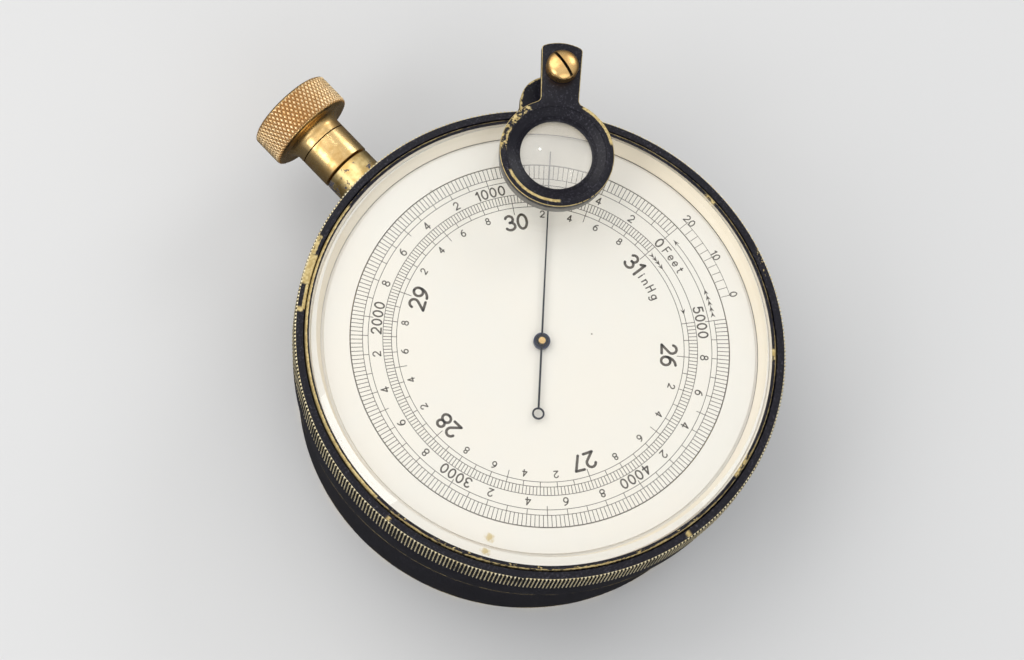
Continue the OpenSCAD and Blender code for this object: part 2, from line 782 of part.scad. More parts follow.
module link() color(steel) on_lever() translate([0, lever_reach - bend_y, rocker_z])
    rotate([0, 90, 0]) difference() {
        union() {
            cylinder(r = eye_r + eye_wall, h = link_t, center = true, $fn = 48);
            translate([rocker_z - lever_z, -link_w / 2, -link_t / 2])
                cube([lever_z - rocker_z, link_w, link_t]);
        }
        cylinder(r = eye_r, h = link_t + 2 * past, center = true, $fn = 48);
    }

module rocker_shaft() color(steel) translate([0, rocker_y, rocker_z])
    rotate([rocker_tilt, 0, 0]) {
        rotate([0, 90, 0]) {
            cylinder(r = rocker_r, h = 2 * rocker_half - 2 * fit_gap, center = true);
            cylinder(r = journal_r, h = 2 * (rocker_half + rocker_post_t), center = true);
        }
        translate([arm_x, -short_arm - rod_end, -rod_w / 2])
            cube([rod_t, short_arm + rod_end, rod_w]);
        translate([arm_x, -rod_w / 2, 0]) cube([rod_t, rod_w, long_arm + hook_end]);
        translate([-arm_x, -short_arm, 0]) rotate([0, 90, 0])
            cylinder(r = pin_r, h = 2 * arm_x + rod_t / 2);
    }

module on_magnifier() rotate([0, 0, -lens_angle]) children();

// The outline of the arm: a bar with two rounded corners and a bowed tip, and the cell's disc
module arm_outline() {
    translate([0, lens_reach]) circle(r = cell_r);
    translate([-arm_w / 2, lens_reach]) square([arm_w, arm_tip - tip_run - lens_reach]);
    for (side = [-1, 1]) translate([side * (arm_w / 2 - tip_corner), arm_tip - tip_run])
        circle(r = tip_corner);
    intersection() {
        translate([0, arm_tip - tip_bow]) circle(r = tip_bow);
        translate([-arm_w / 2 + tip_corner, lens_reach]) square([arm_w - 2 * tip_corner, arm_tip]);
    }
}

module lens_arm() color(lacquer) on_magnifier() difference() {
    union() {
        translate([0, 0, arm_z]) linear_extrude(arm_t) arm_outline();
        translate([0, lens_reach, cell_z]) cylinder(r = cell_wall_r, h = arm_z - cell_z);
    }
    translate([0, lens_reach, cell_z + cell_lip]) cylinder(r = cell_in, h = cell_depth);
    translate([0, lens_reach, cell_z - past]) cylinder(r = aperture_r + lens_seat, h = cell_depth);
    translate([0, pivot_reach, arm_z - past]) cylinder(r = screw_r + fit_gap, h = arm_t + 2 * past);
}

module lens_retainer() color(lacquer) on_magnifier() translate([0, lens_reach, 0])
    turned([[aperture_r, dish_z - dish_lip], [aperture_r + dish_edge, dish_z],
        [cell_in - dish_step, arm_top - dish_rise], [cell_in, arm_top - dish_rise],
        [cell_in, dish_z - dish_t - lens_edge],
        [lens_r - 2 * dish_edge, dish_z - lens_edge + dish_edge],
        [aperture_r, dish_z - dish_lip - dish_t]]);

// Height of the lens's face at a distance from its axis
function cap(r) = lens_bulge * (1 - pow(r / lens_r, 2));

module magnifier_lens() color([0.85, 0.92, 0.95, 0.35]) on_magnifier()
    translate([0, lens_reach, lens_z]) turned(concat(
        [for (i = [0 : lens_steps]) let (r = (aperture_r + lens_seat - lens_lip) * i / lens_steps)
            [r, lens_back - cap(r) / 2]],
        [[aperture_r + lens_seat, 0], [lens_r, 0], [lens_r, lens_edge - lens_lip]],
        [for (i = [lens_steps : -1 : 0]) let (r = (lens_r - lens_seat) * i / lens_steps)
            [r, lens_edge - 2 * lens_lip + cap(r)]]));

// The lug from above: a round-ended plate that the post under the arm may stand out of
module lug_outline() {
    translate([-lug_side, reed_r + lug_out]) circle(r = lug_r);
    translate([-lug_side - lug_r, reed_r - past]) square([2 * lug_r, lug_out + past]);
    translate([0, pivot_reach]) circle(r = lug_post_r);
}

module arm_bracket() color(lacquer) on_magnifier() difference() {
    union() {
        translate([0, 0, foot_z]) linear_extrude(reed_top - foot_z) intersection() {
            lug_outline();
            circle(r = reed_r + foot_t);
        }
        translate([0, 0, lug_z]) linear_extrude(lug_t) lug_outline();
        translate([0, pivot_reach, lug_z]) cylinder(r = lug_post_r, h = post_top - lug_z);
    }
    cylinder(r = reed_r + fit_gap, h = reed_top + past);
    translate([0, pivot_reach, lug_z - past]) cylinder(r = screw_r, h = post_top - lug_z + 2 * past);
    foot_screw_places() cylinder(r = foot_screw_r, h = reed_wall + foot_t + past);
}

module foot_screw_places() for (side = [-1, 1])
    rotate([0, 0, lug_turn + side * foot_screw_angle]) translate([0, reed_in, foot_screw_z])
        rotate([-90, 0, 0]) children();

module bracket_screws() color(brass) on_magnifier() foot_screw_places()
    translate([0, 0, reed_wall + foot_t])
        cheese_screw(foot_head_r, foot_head_t, foot_screw_r, reed_wall + foot_t - run_gap);

module arm_washer() color(brass) on_magnifier() translate([0, pivot_reach, post_top])
    difference() {
        cylinder(r = washer_r, h = washer_t);
        translate([0, 0, -past]) cylinder(r = screw_r, h = washer_t + 2 * past);
    }

module arm_screw() color(brass) on_magnifier() translate([0, pivot_reach, 0]) {
    difference() {
        translate([0, 0, head_z]) turned(concat([[0, 0], [head_r - edge / 4, 0], [head_r, edge / 2]],
            [for (i = [0 : head_steps]) let (a = 90 * i / head_steps)
                [head_r * cos(a), head_wall + (head_h - head_wall) * sin(a)]]));
        rotate([0, 0, head_slot_angle])
            translate([-head_r - past, -head_slot_w / 2, head_z + head_h - head_slot_d])
                cube([2 * (head_r + past), head_slot_w, head_slot_d + past]);
    }
    translate([0, 0, lug_z]) cylinder(r = screw_r, h = head_z - lug_z);
}

case_body();
back_cover();
back_screws();
shoulder_ring();
flange_ring();
glass();
glass_bezel();
pendant_tube();
base_plate();
base_screws();
capsule();
spring_bridge();
bridge_screws();
main_spring();
rocker_posts();
arbor_cock();
cock_pillars();
dial_carrier();
dial_pillars();
dial_plate();
hairspring();
hairspring_stud();
drum_chain();
adjusting_screw();
vernier_ring();
knob();
knob_shaft();
pinion();
pointer();
pointer_collet();
pointer_arbor();
capsule_post();
lever_saddle();
main_lever();
link();
rocker_shaft();
lens_ring();
arm_bracket();
bracket_screws();
arm_washer();
arm_screw();
lens_arm();
lens_retainer();
magnifier_lens();
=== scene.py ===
from math import asin, atan2, cos, degrees, log10, pi, radians, sin, sqrt, tan

import bmesh
import bpy
from mathutils import Matrix, Vector


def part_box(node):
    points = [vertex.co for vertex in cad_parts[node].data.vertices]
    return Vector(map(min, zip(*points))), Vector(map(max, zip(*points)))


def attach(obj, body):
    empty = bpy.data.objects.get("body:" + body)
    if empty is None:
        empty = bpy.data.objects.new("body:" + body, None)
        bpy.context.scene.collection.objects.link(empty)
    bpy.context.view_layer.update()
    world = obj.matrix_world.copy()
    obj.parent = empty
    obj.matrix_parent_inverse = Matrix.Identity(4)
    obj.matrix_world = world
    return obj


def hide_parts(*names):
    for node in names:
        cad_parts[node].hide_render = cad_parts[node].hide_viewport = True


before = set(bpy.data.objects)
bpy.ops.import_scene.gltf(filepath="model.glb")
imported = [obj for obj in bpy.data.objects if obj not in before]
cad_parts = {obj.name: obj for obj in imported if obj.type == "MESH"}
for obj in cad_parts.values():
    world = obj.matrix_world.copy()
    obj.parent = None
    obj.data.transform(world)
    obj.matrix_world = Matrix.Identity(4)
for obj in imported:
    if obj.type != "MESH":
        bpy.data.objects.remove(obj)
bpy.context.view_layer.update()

# Lengths are in millimetres until a mesh is made. Angles are degrees, clockwise from +Y seen
# from +Z, as on the part: +Z runs out through the dial and +Y towards the knob.
MM = 0.001


def corners(node):
    """Lowest and highest corner of a CAD node, in millimetres."""
    low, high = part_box(node)
    return [c / MM for c in low], [c / MM for c in high]


def turned_box(node):
    """Outer radius, lowest and highest height of a CAD node."""
    low, high = corners(node)
    return high[0], low[2], high[2]


# Gaps between fixed pieces, and beside a piece that turns
fit_gap = 0.05
turn_gap = 0.3

# Sizes taken from the frame
dial_r, _, dial_z = turned_box("dial_plate")
vernier_r, _, _ = turned_box("vernier_ring")
glass_r, glass_z, glass_top = turned_box("glass")
bezel_r, bezel_low, bezel_top = turned_box("glass_bezel")
reed_r, reed_low, reed_top = turned_box("lens_ring")
shoulder_r, shoulder_low, _ = turned_box("shoulder_ring")
shoulder_top = reed_low - turn_gap
case_r, _, wall_top = turned_box("case_body")
tube_r, tube_end, _ = corners("pendant_tube")[1]
knob_low, knob_high = corners("knob")
knob_z = (knob_low[2] + knob_high[2]) / 2
head_r = knob_high[0]
_, cell_low, arm_top = turned_box("lens_arm")
screw_right, _, screw_high = corners("arm_screw")[1]

# Sizes that no box gives, as in the part's source
wall_t = 2.2
bezel_w = 1.05
bevel_w = 1.85
glass_edge = 0.4
flange_w = 3.4
lip_t = 1.9
seat_drop = 0.7
lens_angle = 47
lens_reach = 47.6
pivot_out = 7.65
tip_out = 7.3
cell_r = 14.95
cell_in = 12.9
aperture_r = 9.4
arm_t = 1.8
screw_hole_r = 1.55
hub_r = 7.0
hub_l = 8.6
neck_l = 4.2
shaft_r = 2.0
tube_depth = 0.8

# Sizes that follow from these
case_in = case_r - wall_t
flange_in = vernier_r + fit_gap
flange_r = flange_in + flange_w
spigot_r = glass_r + fit_gap
bezel_in = bezel_r - bezel_w
reed_in = bezel_r + turn_gap
lip_r = spigot_r + turn_gap
lip_top = reed_low + lip_t
seat_z = dial_z - seat_drop
pivot_reach = reed_r + pivot_out
arm_tip = pivot_reach + tip_out

# Sizes of the scales
feet_range = 5000
feet_sweep = 327.35
feet_angle = feet_sweep / feet_range
zero_angle = 91.3
ink_rise = 0.02
ink_sink = 0.06
tick_w = 0.17
line_w = 0.16


def polar(radius, angle):
    """A point on the dial at a clockwise angle from +Y."""
    a = radians(angle)
    return radius * sin(a), radius * cos(a)


# Mesh building

def add_object(name, data):
    made = bpy.data.objects.new(name, data)
    bpy.context.collection.objects.link(made)
    return made


def make_object(name, verts, faces, materials, sharp=35, face_slots=None):
    """A smooth-shaded object from points in millimetres, with edges over an angle left sharp."""
    mesh = bpy.data.meshes.new(name)
    mesh.from_pydata([tuple(c * MM for c in v) for v in verts], [], faces)
    mesh.validate()
    for material in materials:
        mesh.materials.append(material)
    if face_slots:
        mesh.polygons.foreach_set("material_index", face_slots)
    build = bmesh.new()
    build.from_mesh(mesh)
    bmesh.ops.recalc_face_normals(build, faces=build.faces)
    build.to_mesh(mesh)
    build.free()
    mesh.shade_smooth()
    mesh.set_sharp_from_angle(angle=radians(sharp))
    return add_object(name, mesh)


def final_mesh(shape):
    """A shape's mesh, with its modifiers or its curve's settings applied."""
    view = bpy.context.evaluated_depsgraph_get()
    return bpy.data.meshes.new_from_object(shape.evaluated_get(view))


def rounded(points):
    """A closed outline whose corners with a third value, their radius, become arcs."""
    steps = 4
    result = []
    count = len(points)
    for i, point in enumerate(points):
        corner = Vector(point[:2])
        if len(point) == 2 or not point[2]:
            result.append(tuple(corner))
            continue
        before = (Vector(points[i - 1][:2]) - corner).normalized()
        after = (Vector(points[(i + 1) % count][:2]) - corner).normalized()
        half = before.angle(after) / 2
        reach = point[2] / tan(half)
        centre = corner + (before + after).normalized() * (point[2] / sin(half))
        start = corner + before * reach - centre
        end = corner + after * reach - centre
        turn = start.angle_signed(end)
        for k in range(steps + 1):
            a = -turn * k / steps
            c, s = cos(a), sin(a)
            x, y = start.x * c - start.y * s, start.x * s + start.y * c
            result.append((centre.x + x, centre.y + y))
    return result


def along_z(radius, height, a):
    return radius * sin(a), radius * cos(a), height


def along_knob(radius, height, a):
    """A turned point on the knob's axis, where the height runs along +Y."""
    return radius * sin(a), height, knob_z + radius * cos(a)


def along_lens(reach):
    """Places turned points on an axis that stands at a reach along the magnifier's direction."""
    cx, cy = polar(reach, lens_angle)

    def place(radius, height, a):
        return cx + radius * sin(a), cy + radius * cos(a), height

    return place


def turned(name, outline, materials, steps=256, place=along_z, sharp=35):
    """Turns a closed outline of (radius, height) points round an axis, sharing points on it."""
    verts = []
    rows = []
    for radius, height in outline:
        if radius < 1e-6:
            rows.append([len(verts)] * steps)
            verts.append(place(0, height, 0))
            continue
        rows.append(list(range(len(verts), len(verts) + steps)))
        verts += [place(radius, height, 2 * pi * k / steps) for k in range(steps)]
    faces = []
    for i in range(len(rows)):
        a, b = rows[i], rows[(i + 1) % len(rows)]
        for k in range(steps):
            corner = [a[k], a[(k + 1) % steps], b[(k + 1) % steps], b[k]]
            face = [v for j, v in enumerate(corner) if v not in corner[:j]]
            if len(face) > 2:
                faces.append(face)
    return make_object(name, verts, faces, materials, sharp)


def row_faces(rows, steps):
    """Faces between closed rows of points, with the last row joined to the first."""
    faces = []
    for i in range(rows):
        a, b = i * steps, ((i + 1) % rows) * steps
        for k in range(steps):
            j = (k + 1) % steps
            faces.append([a + k, a + j, b + j, b + k])
    return faces


def finish_piece(piece, body, *replaced, slot="black_lacquer"):
    """Makes a piece ride on its body and hides the nodes it stands for. Its slot argument is not
    used.
    """
    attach(piece, body)
    if replaced:
        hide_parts(*replaced)


def dress(name, material):
    """Gives a CAD node its finish."""
    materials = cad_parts[name].data.materials
    materials.clear()
    materials.append(material)


# Shader building

class Shader:
    """Builds one material's nodes with short calls. Lengths are in millimetres."""

    def __init__(self, name, **settings):
        self.material = bpy.data.materials.new(name)
        self.material.use_nodes = True
        self.tree = self.material.node_tree
        self.surface = self.tree.nodes["Principled BSDF"]
        self.output = self.tree.nodes["Material Output"]
        self.set(**settings)
        where = self.node("TexCoord").outputs["Object"]
        self.place = self.node("VectorMath", [where], operation="SCALE").outputs[0]
        self.place.node.inputs["Scale"].default_value = 1 / MM

    def feed(self, socket, value):
        if isinstance(value, bpy.types.NodeSocket):
            self.tree.links.new(value, socket)
        elif socket.type == "RGBA" and len(value) == 3:
            socket.default_value = (*value, 1)
        else:
            socket.default_value = value

    def node(self, kind, inputs=(), **settings):
        """Adds a node. Its inputs are given in their order, with None for one left as it is."""
        made = self.tree.nodes.new("ShaderNode" + kind)
        for key, value in settings.items():
            setattr(made, key, value)
        for socket, value in zip(made.inputs, inputs):
            if value is not None:
                self.feed(socket, value)
        return made

    def math(self, operation, *values):
        return self.node("Math", values, operation=operation).outputs[0]

    def times(self, a, b):
        return self.math("MULTIPLY", a, b)

    def total(self, first, second):
        """Adds two values, each given as it is or as (value, weight)."""
        parts = [self.times(*v) if isinstance(v, tuple) else v for v in (first, second)]
        return self.math("ADD", *parts)

    def step(self, value, low, high):
        """Rises smoothly from 0 at low to 1 at high."""
        limits = [value, low, high]
        return self.node("MapRange", limits, interpolation_type="SMOOTHSTEP").outputs[0]

    def between(self, value, low, high, soft):
        """1 between low and high, falling off over a soft distance."""
        rise = self.step(value, low - soft, low + soft)
        fall = self.step(value, high + soft, high - soft)
        return self.times(rise, fall)

    def mix(self, factor, a, b):
        inputs = [factor, *[None] * 5, a, b]
        return self.node("Mix", inputs, data_type="RGBA").outputs[2]

    def blend(self, factor, a, b):
        return self.node("Mix", [factor, None, a, b], data_type="FLOAT").outputs[0]

    def noise(self, size, detail=3, roughness=0.5, where=None):
        """Fractal noise whose main features are about size millimetres across."""
        inputs = [where or self.place, None, 1 / size, detail, roughness]
        return self.node("TexNoise", inputs).outputs[0]

    def cells(self, size):
        """Distance to the nearest of scattered points, size millimetres apart."""
        return self.node("TexVoronoi", [self.place, None, 1 / size]).outputs["Distance"]

    def length(self, x, y):
        flat = self.node("CombineXYZ", [x, y]).outputs[0]
        return self.node("VectorMath", [flat], operation="LENGTH").outputs["Value"]

    def turned_place(self, centre=(0, 0, 0), axis="Z"):
        """Radius, height and clockwise angle in degrees about an axis."""
        moved = self.node("VectorMath", [self.place, centre], operation="SUBTRACT")
        x, y, z = self.node("SeparateXYZ", [moved.outputs[0]]).outputs
        if axis == "Y":
            y, z = z, y
        turn = self.math("ARCTAN2", x, y)
        return self.length(x, y), z, self.times(turn, degrees(1))

    def edge_distance(self, radius, height, edges):
        """Distance to the nearest of some turned edges, each given as (radius, height)."""
        nearest = None
        for edge_r, edge_z in edges:
            away = self.math("SUBTRACT", radius, edge_r), self.math("SUBTRACT", height, edge_z)
            here = self.length(*away)
            nearest = here if nearest is None else self.math("MINIMUM", nearest, here)
        return nearest

    def bump(self, height, depth):
        made = self.node("Bump")
        made.inputs["Distance"].default_value = depth * MM
        self.feed(made.inputs["Height"], height)
        self.feed(self.surface.inputs["Normal"], made.outputs[0])

    def set(self, **settings):
        """Sets inputs of the surface, named with _ for each space."""
        for key, value in settings.items():
            self.feed(self.surface.inputs[key.replace("_", " ")], value)

    def show_on(self, rays, other):
        """Shows another surface to some kinds of ray."""
        shown = self.surface
        for ray in rays:
            met = self.node("LightPath").outputs[ray]
            shown = self.node("MixShader", [met, shown.outputs[0], other.outputs[0]])
        self.tree.links.new(shown.outputs[0], self.output.inputs["Surface"])


BLACK = (0.0065, 0.006, 0.011)
BLACK_DUSTY = (0.075, 0.071, 0.092)
BRASS_WORN = (0.70, 0.56, 0.27)
BRASS_DULL = (0.50, 0.37, 0.15)
CREST_WORN = (0.95, 0.86, 0.60)
CREST_DULL = (0.72, 0.60, 0.34)
BRASS = (0.96, 0.68, 0.31)
BRASS_DARK = (0.68, 0.42, 0.15)
SILVERED = (0.90, 0.85, 0.775)
SILVERED_COOL = (0.88, 0.845, 0.785)
INK = (0.060, 0.049, 0.038)


def lacquer_coat(shader, worn, dull=BRASS_DULL, bright=BRASS_WORN):
    """Satin black lacquer, with dusty grain, over brass that shows where worn is 1."""
    grain = shader.noise(0.6, 5, 0.75)
    cloud = shader.noise(9)
    dust = shader.times(shader.step(grain, 0.52, 0.68), shader.step(cloud, 0.22, 0.62))
    black = shader.mix(dust, BLACK, BLACK_DUSTY)
    metal = shader.mix(shader.step(shader.noise(0.8), 0.35, 0.65), dull, bright)
    shader.set(
        Base_Color=shader.mix(worn, black, metal),
        Metallic=shader.times(worn, 0.5),
        Roughness=shader.blend(worn, shader.blend(dust, 0.30, 0.5), 0.38),
        Specular_IOR_Level=0.25,
    )
    shader.bump(shader.total(grain, (worn, -2.0)), 0.012)


def rub(shader, radius, angle, fine, start, end, low, high, cover):
    """1 in a ragged patch between two angles and two radii, rubbed through over a share."""
    ragged = shader.times(shader.math("SUBTRACT", fine, 0.5), 0.6)
    spread = degrees(1 / high)
    ragged_angle = shader.total(angle, (ragged, 2 * spread))
    turn = shader.between(ragged_angle, start, end, 0.4 * spread)
    band = shader.between(shader.total(radius, ragged), low, high, 0.08)
    rubbed = shader.step(shader.noise(1.1, 4, 0.7), 0.62 - cover, 0.68 - cover)
    return shader.times(shader.times(turn, band), rubbed)


def rub_patches(shader, worn, radius, angle, fine, patches):
    """Adds patches to worn: (angle from, angle to, radius from, radius to, cover)."""
    for patch in patches:
        worn = shader.math("MAXIMUM", worn, rub(shader, radius, angle, fine, *patch))
    return worn


def lacquer(name, edges=(), width=0.25, centre=(0, 0, 0), patches=(), chips=0.0):
    """Black lacquer, worn to the brass along turned edges, in some patches and in small chips."""
    shader = Shader(name)
    radius, height, angle = shader.turned_place(centre)
    broad = shader.noise(7, 2)
    fine = shader.noise(0.9, 4, 0.7)
    reach = shader.times(shader.step(shader.total(broad, fine), 0.72, 1.3), 2 * width)
    worn = 0.0
    if edges:
        away = shader.edge_distance(radius, height, edges)
        worn = shader.step(shader.math("SUBTRACT", reach, away), -0.03, 0.05)
    if chips:
        ragged = shader.total(shader.noise(1.6, 4, 0.7), (broad, 0.4))
        worn = shader.math("MAXIMUM", worn, shader.step(ragged, 0.88 - chips, 0.92 - chips))
    lacquer_coat(shader, rub_patches(shader, worn, radius, angle, fine, patches))
    return shader.material


def brass(name, colour=BRASS, dark=BRASS_DARK, roughness=0.3, grain=None, spots=0.0, groove=0):
    """Aged brass with a warm patina and a few dark spots, fine turning marks about a grain's
    (centre, axis) and grime in a groove across it."""
    shader = Shader(name, Metallic=1.0)
    patina = shader.total((shader.noise(5, 4, 0.6), 0.7), (shader.noise(1.1), 0.3))
    tone = shader.mix(shader.step(patina, 0.38, 0.68), colour, dark)
    stained = shader.step(shader.noise(1.3, 3, 0.6), 0.74 - spots, 0.80 - spots)
    tone = shader.mix(stained, tone, (0.03, 0.022, 0.015))
    rough = shader.blend(shader.step(patina, 0.35, 0.7), roughness, roughness + 0.18)
    shader.set(Base_Color=tone, Roughness=shader.blend(stained, rough, 0.65))
    height = shader.noise(0.5, 4, 0.6)
    if grain:
        radius, along, _ = shader.turned_place(*grain)
        marks = shader.node("CombineXYZ", [along, radius]).outputs[0]
        height = shader.total(height, shader.noise(0.12, 2, 0.5, marks))
        if groove:
            grime = shader.between(along, groove - 0.12, groove + 0.12, 0.05)
            shader.set(Base_Color=shader.mix(grime, tone, (0.06, 0.035, 0.015)))
    shader.bump(height, 0.006)
    return shader.material


def silvered(name, colour=SILVERED, cool=SILVERED_COOL, metal=0.0, roughness=0.42, specks=True,
             rim=None, stain=None):
    """Matt silvered brass with a fine grain, a slight drift of tone and tiny specks. Beyond a rim
    radius it carries a painted shade, dark and tinted green like the glass's edge, for the shaded
    gap under the glass, and it may have a stain ((x, y), radius)."""
    shader = Shader(name, Metallic=metal)
    drift = shader.total((shader.noise(45, 2), 0.8), (shader.noise(4), 0.2))
    tone = shader.mix(shader.step(drift, 0.36, 0.64), colour, cool)
    if specks:
        spot = shader.step(shader.cells(13), 0.022, 0.014)
        cloud = shader.step(shader.noise(7, 4, 0.62), 0.74, 0.86)
        tone = shader.mix(shader.times(cloud, 0.35), tone, (0.60, 0.50, 0.30))
        tone = shader.mix(shader.times(spot, 0.8), tone, (0.16, 0.12, 0.07))
    if stain:
        away, _, _ = shader.turned_place((*stain[0], 0))
        ragged = shader.total(away, (shader.noise(1.2, 4, 0.7), 3))
        stained = shader.step(ragged, stain[1] + 1.9, stain[1] + 0.9)
        tone = shader.mix(stained, tone, (0.66, 0.52, 0.26))
    # Painted shade: beyond the rim radius the tone turns dark green-black, standing in for the
    # shaded gap under the glass edge.
    if rim:
        radius, _, _ = shader.turned_place()
        painted_gap_shade = shader.step(radius, rim + 0.02, rim + 0.12)
        tone = shader.mix(painted_gap_shade, tone, (0.02, 0.05, 0.045))
    grain = shader.noise(0.18, 2, 0.6)
    rough = shader.blend(grain, roughness - 0.06, roughness + 0.08)
    shader.set(Base_Color=tone, Roughness=rough)
    shader.bump(grain, 0.003)
    return shader.material


def plain_metal(name, colour, roughness):
    """Fine-drawn metal for the pieces of the movement and the small blued pieces."""
    shader = Shader(name, Metallic=1.0)
    cloud = shader.noise(3)
    darker = tuple(c * 0.72 for c in colour)
    rough = shader.blend(cloud, roughness, roughness + 0.12)
    shader.set(Base_Color=shader.mix(cloud, colour, darker), Roughness=rough)
    shader.bump(shader.noise(0.3), 0.004)
    return shader.material


def clear(name, colour, ior, film, haze=0.0, clarity=1.0):
    """Clear glass with faint smears in its polish. Shadow and diffuse rays pass straight through,
    so that a lamp's light under it counts once."""
    shader = Shader(name, Roughness=haze, Transmission_Weight=clarity, IOR=ior, Base_Color=colour)
    shader.bump(shader.noise(14, 2), film)
    lamps = shader.node("BsdfTransparent", [colour])
    shader.show_on(("Is Shadow Ray", "Is Diffuse Ray"), lamps)
    return shader.material


def ink(name):
    """Wax-filled engraving, dark brown-grey."""
    shader = Shader(name, Roughness=0.6)
    faded = tuple(c * 1.6 for c in INK)
    shader.set(Base_Color=shader.mix(shader.noise(0.5), INK, faded))
    shader.bump(shader.noise(0.1, 2), 0.003)
    return shader.material


# Camera, fitted to the photograph, and the plain stage. Lengths here are in metres.

# Name, place, diameter, power and colour
LAMPS = [
    ("key", (-0.15, 0.90, 0.95), 1.3, 6.4, (1.0, 0.98, 0.95)),
    ("fill", (-0.45, -0.85, 0.60), 1.1, 2.7, (0.97, 0.985, 1.0)),
    ("rim", (0.9, 0.05, 0.6), 0.5, 1.7, (0.97, 0.985, 1.0)),
    ("side", (-0.90, 0.25, 0.70), 0.6, 2.2, (1, 1, 1)),
    ("glare", (0.406, 0.386, 1.14), 0.015, 0.15, (1, 1, 1)),
]
LAMP_AIM = (0, 0, 0.03)
CAMERA_PLACE = (-0.263391, -0.113094, 0.811)
SKY_LOW, SKY_HIGH = 0.26, 0.80


def make_camera():
    right = Vector((0.712849, -0.688526, 0.13337))
    up = Vector((0.625428, 0.710157, 0.32330))
    forward = Vector((0.317308, 0.147048, -0.93685))
    data = bpy.data.cameras.new("camera")
    data.sensor_width = 36
    data.lens = 112.35
    data.clip_start = 0.01
    data.clip_end = 20
    camera = add_object("camera", data)
    turn = Matrix((right, up, -forward)).transposed()
    camera.matrix_world = Matrix.Translation(Vector(CAMERA_PLACE)) @ turn.to_4x4()
    bpy.context.scene.camera = camera


def make_lamp(name, place, size, power, colour):
    """A round soft box that faces the part."""
    data = bpy.data.lights.new(name, "AREA")
    data.shape = "DISK"
    data.size = size
    data.energy = power
    data.color = colour
    lamp = add_object(name, data)
    lamp.location = place
    lamp.rotation_mode = "QUATERNION"
    aim = Vector(LAMP_AIM) - Vector(place)
    lamp.rotation_quaternion = aim.to_track_quat("-Z", "Y")


def make_stage():
    bpy.context.scene.view_settings.view_transform = "Standard"
    world = bpy.data.worlds.new("studio")
    bpy.context.scene.world = world
    world.use_nodes = True
    nodes, links = world.node_tree.nodes, world.node_tree.links
    back = nodes["Background"]
    where = nodes.new("ShaderNodeTexCoord")
    split = nodes.new("ShaderNodeSeparateXYZ")
    shade = nodes.new("ShaderNodeMapRange")
    shade.inputs["To Min"].default_value = SKY_LOW
    shade.inputs["To Max"].default_value = SKY_HIGH
    links.new(where.outputs["Generated"], split.inputs[0])
    links.new(split.outputs["Z"], shade.inputs["Value"])
    links.new(shade.outputs[0], back.inputs["Strength"])
    back.inputs["Color"].default_value = (1, 1, 1, 1)
    for lamp in LAMPS:
        make_lamp(*lamp)
    shader = Shader("floor_paint", Roughness=0.85)
    paint = shader.mix(shader.noise(180, 2), (0.73, 0.73, 0.73), (0.70, 0.705, 0.71))
    shader.set(Base_Color=paint)
    shader.bump(shader.noise(0.8), 0.01)
    dim = shader.node("BsdfDiffuse", [(0.10, 0.10, 0.105)])
    shader.show_on(("Is Glossy Ray",), dim)
    side = 1.5
    mesh = bpy.data.meshes.new("floor")
    square = [(-side, -side, 0), (side, -side, 0), (side, side, 0), (-side, side, 0)]
    mesh.from_pydata(square, [], [(0, 1, 2, 3)])
    mesh.materials.append(shader.material)
    floor = add_object("floor", mesh)


# Scales: thin inlaid strokes

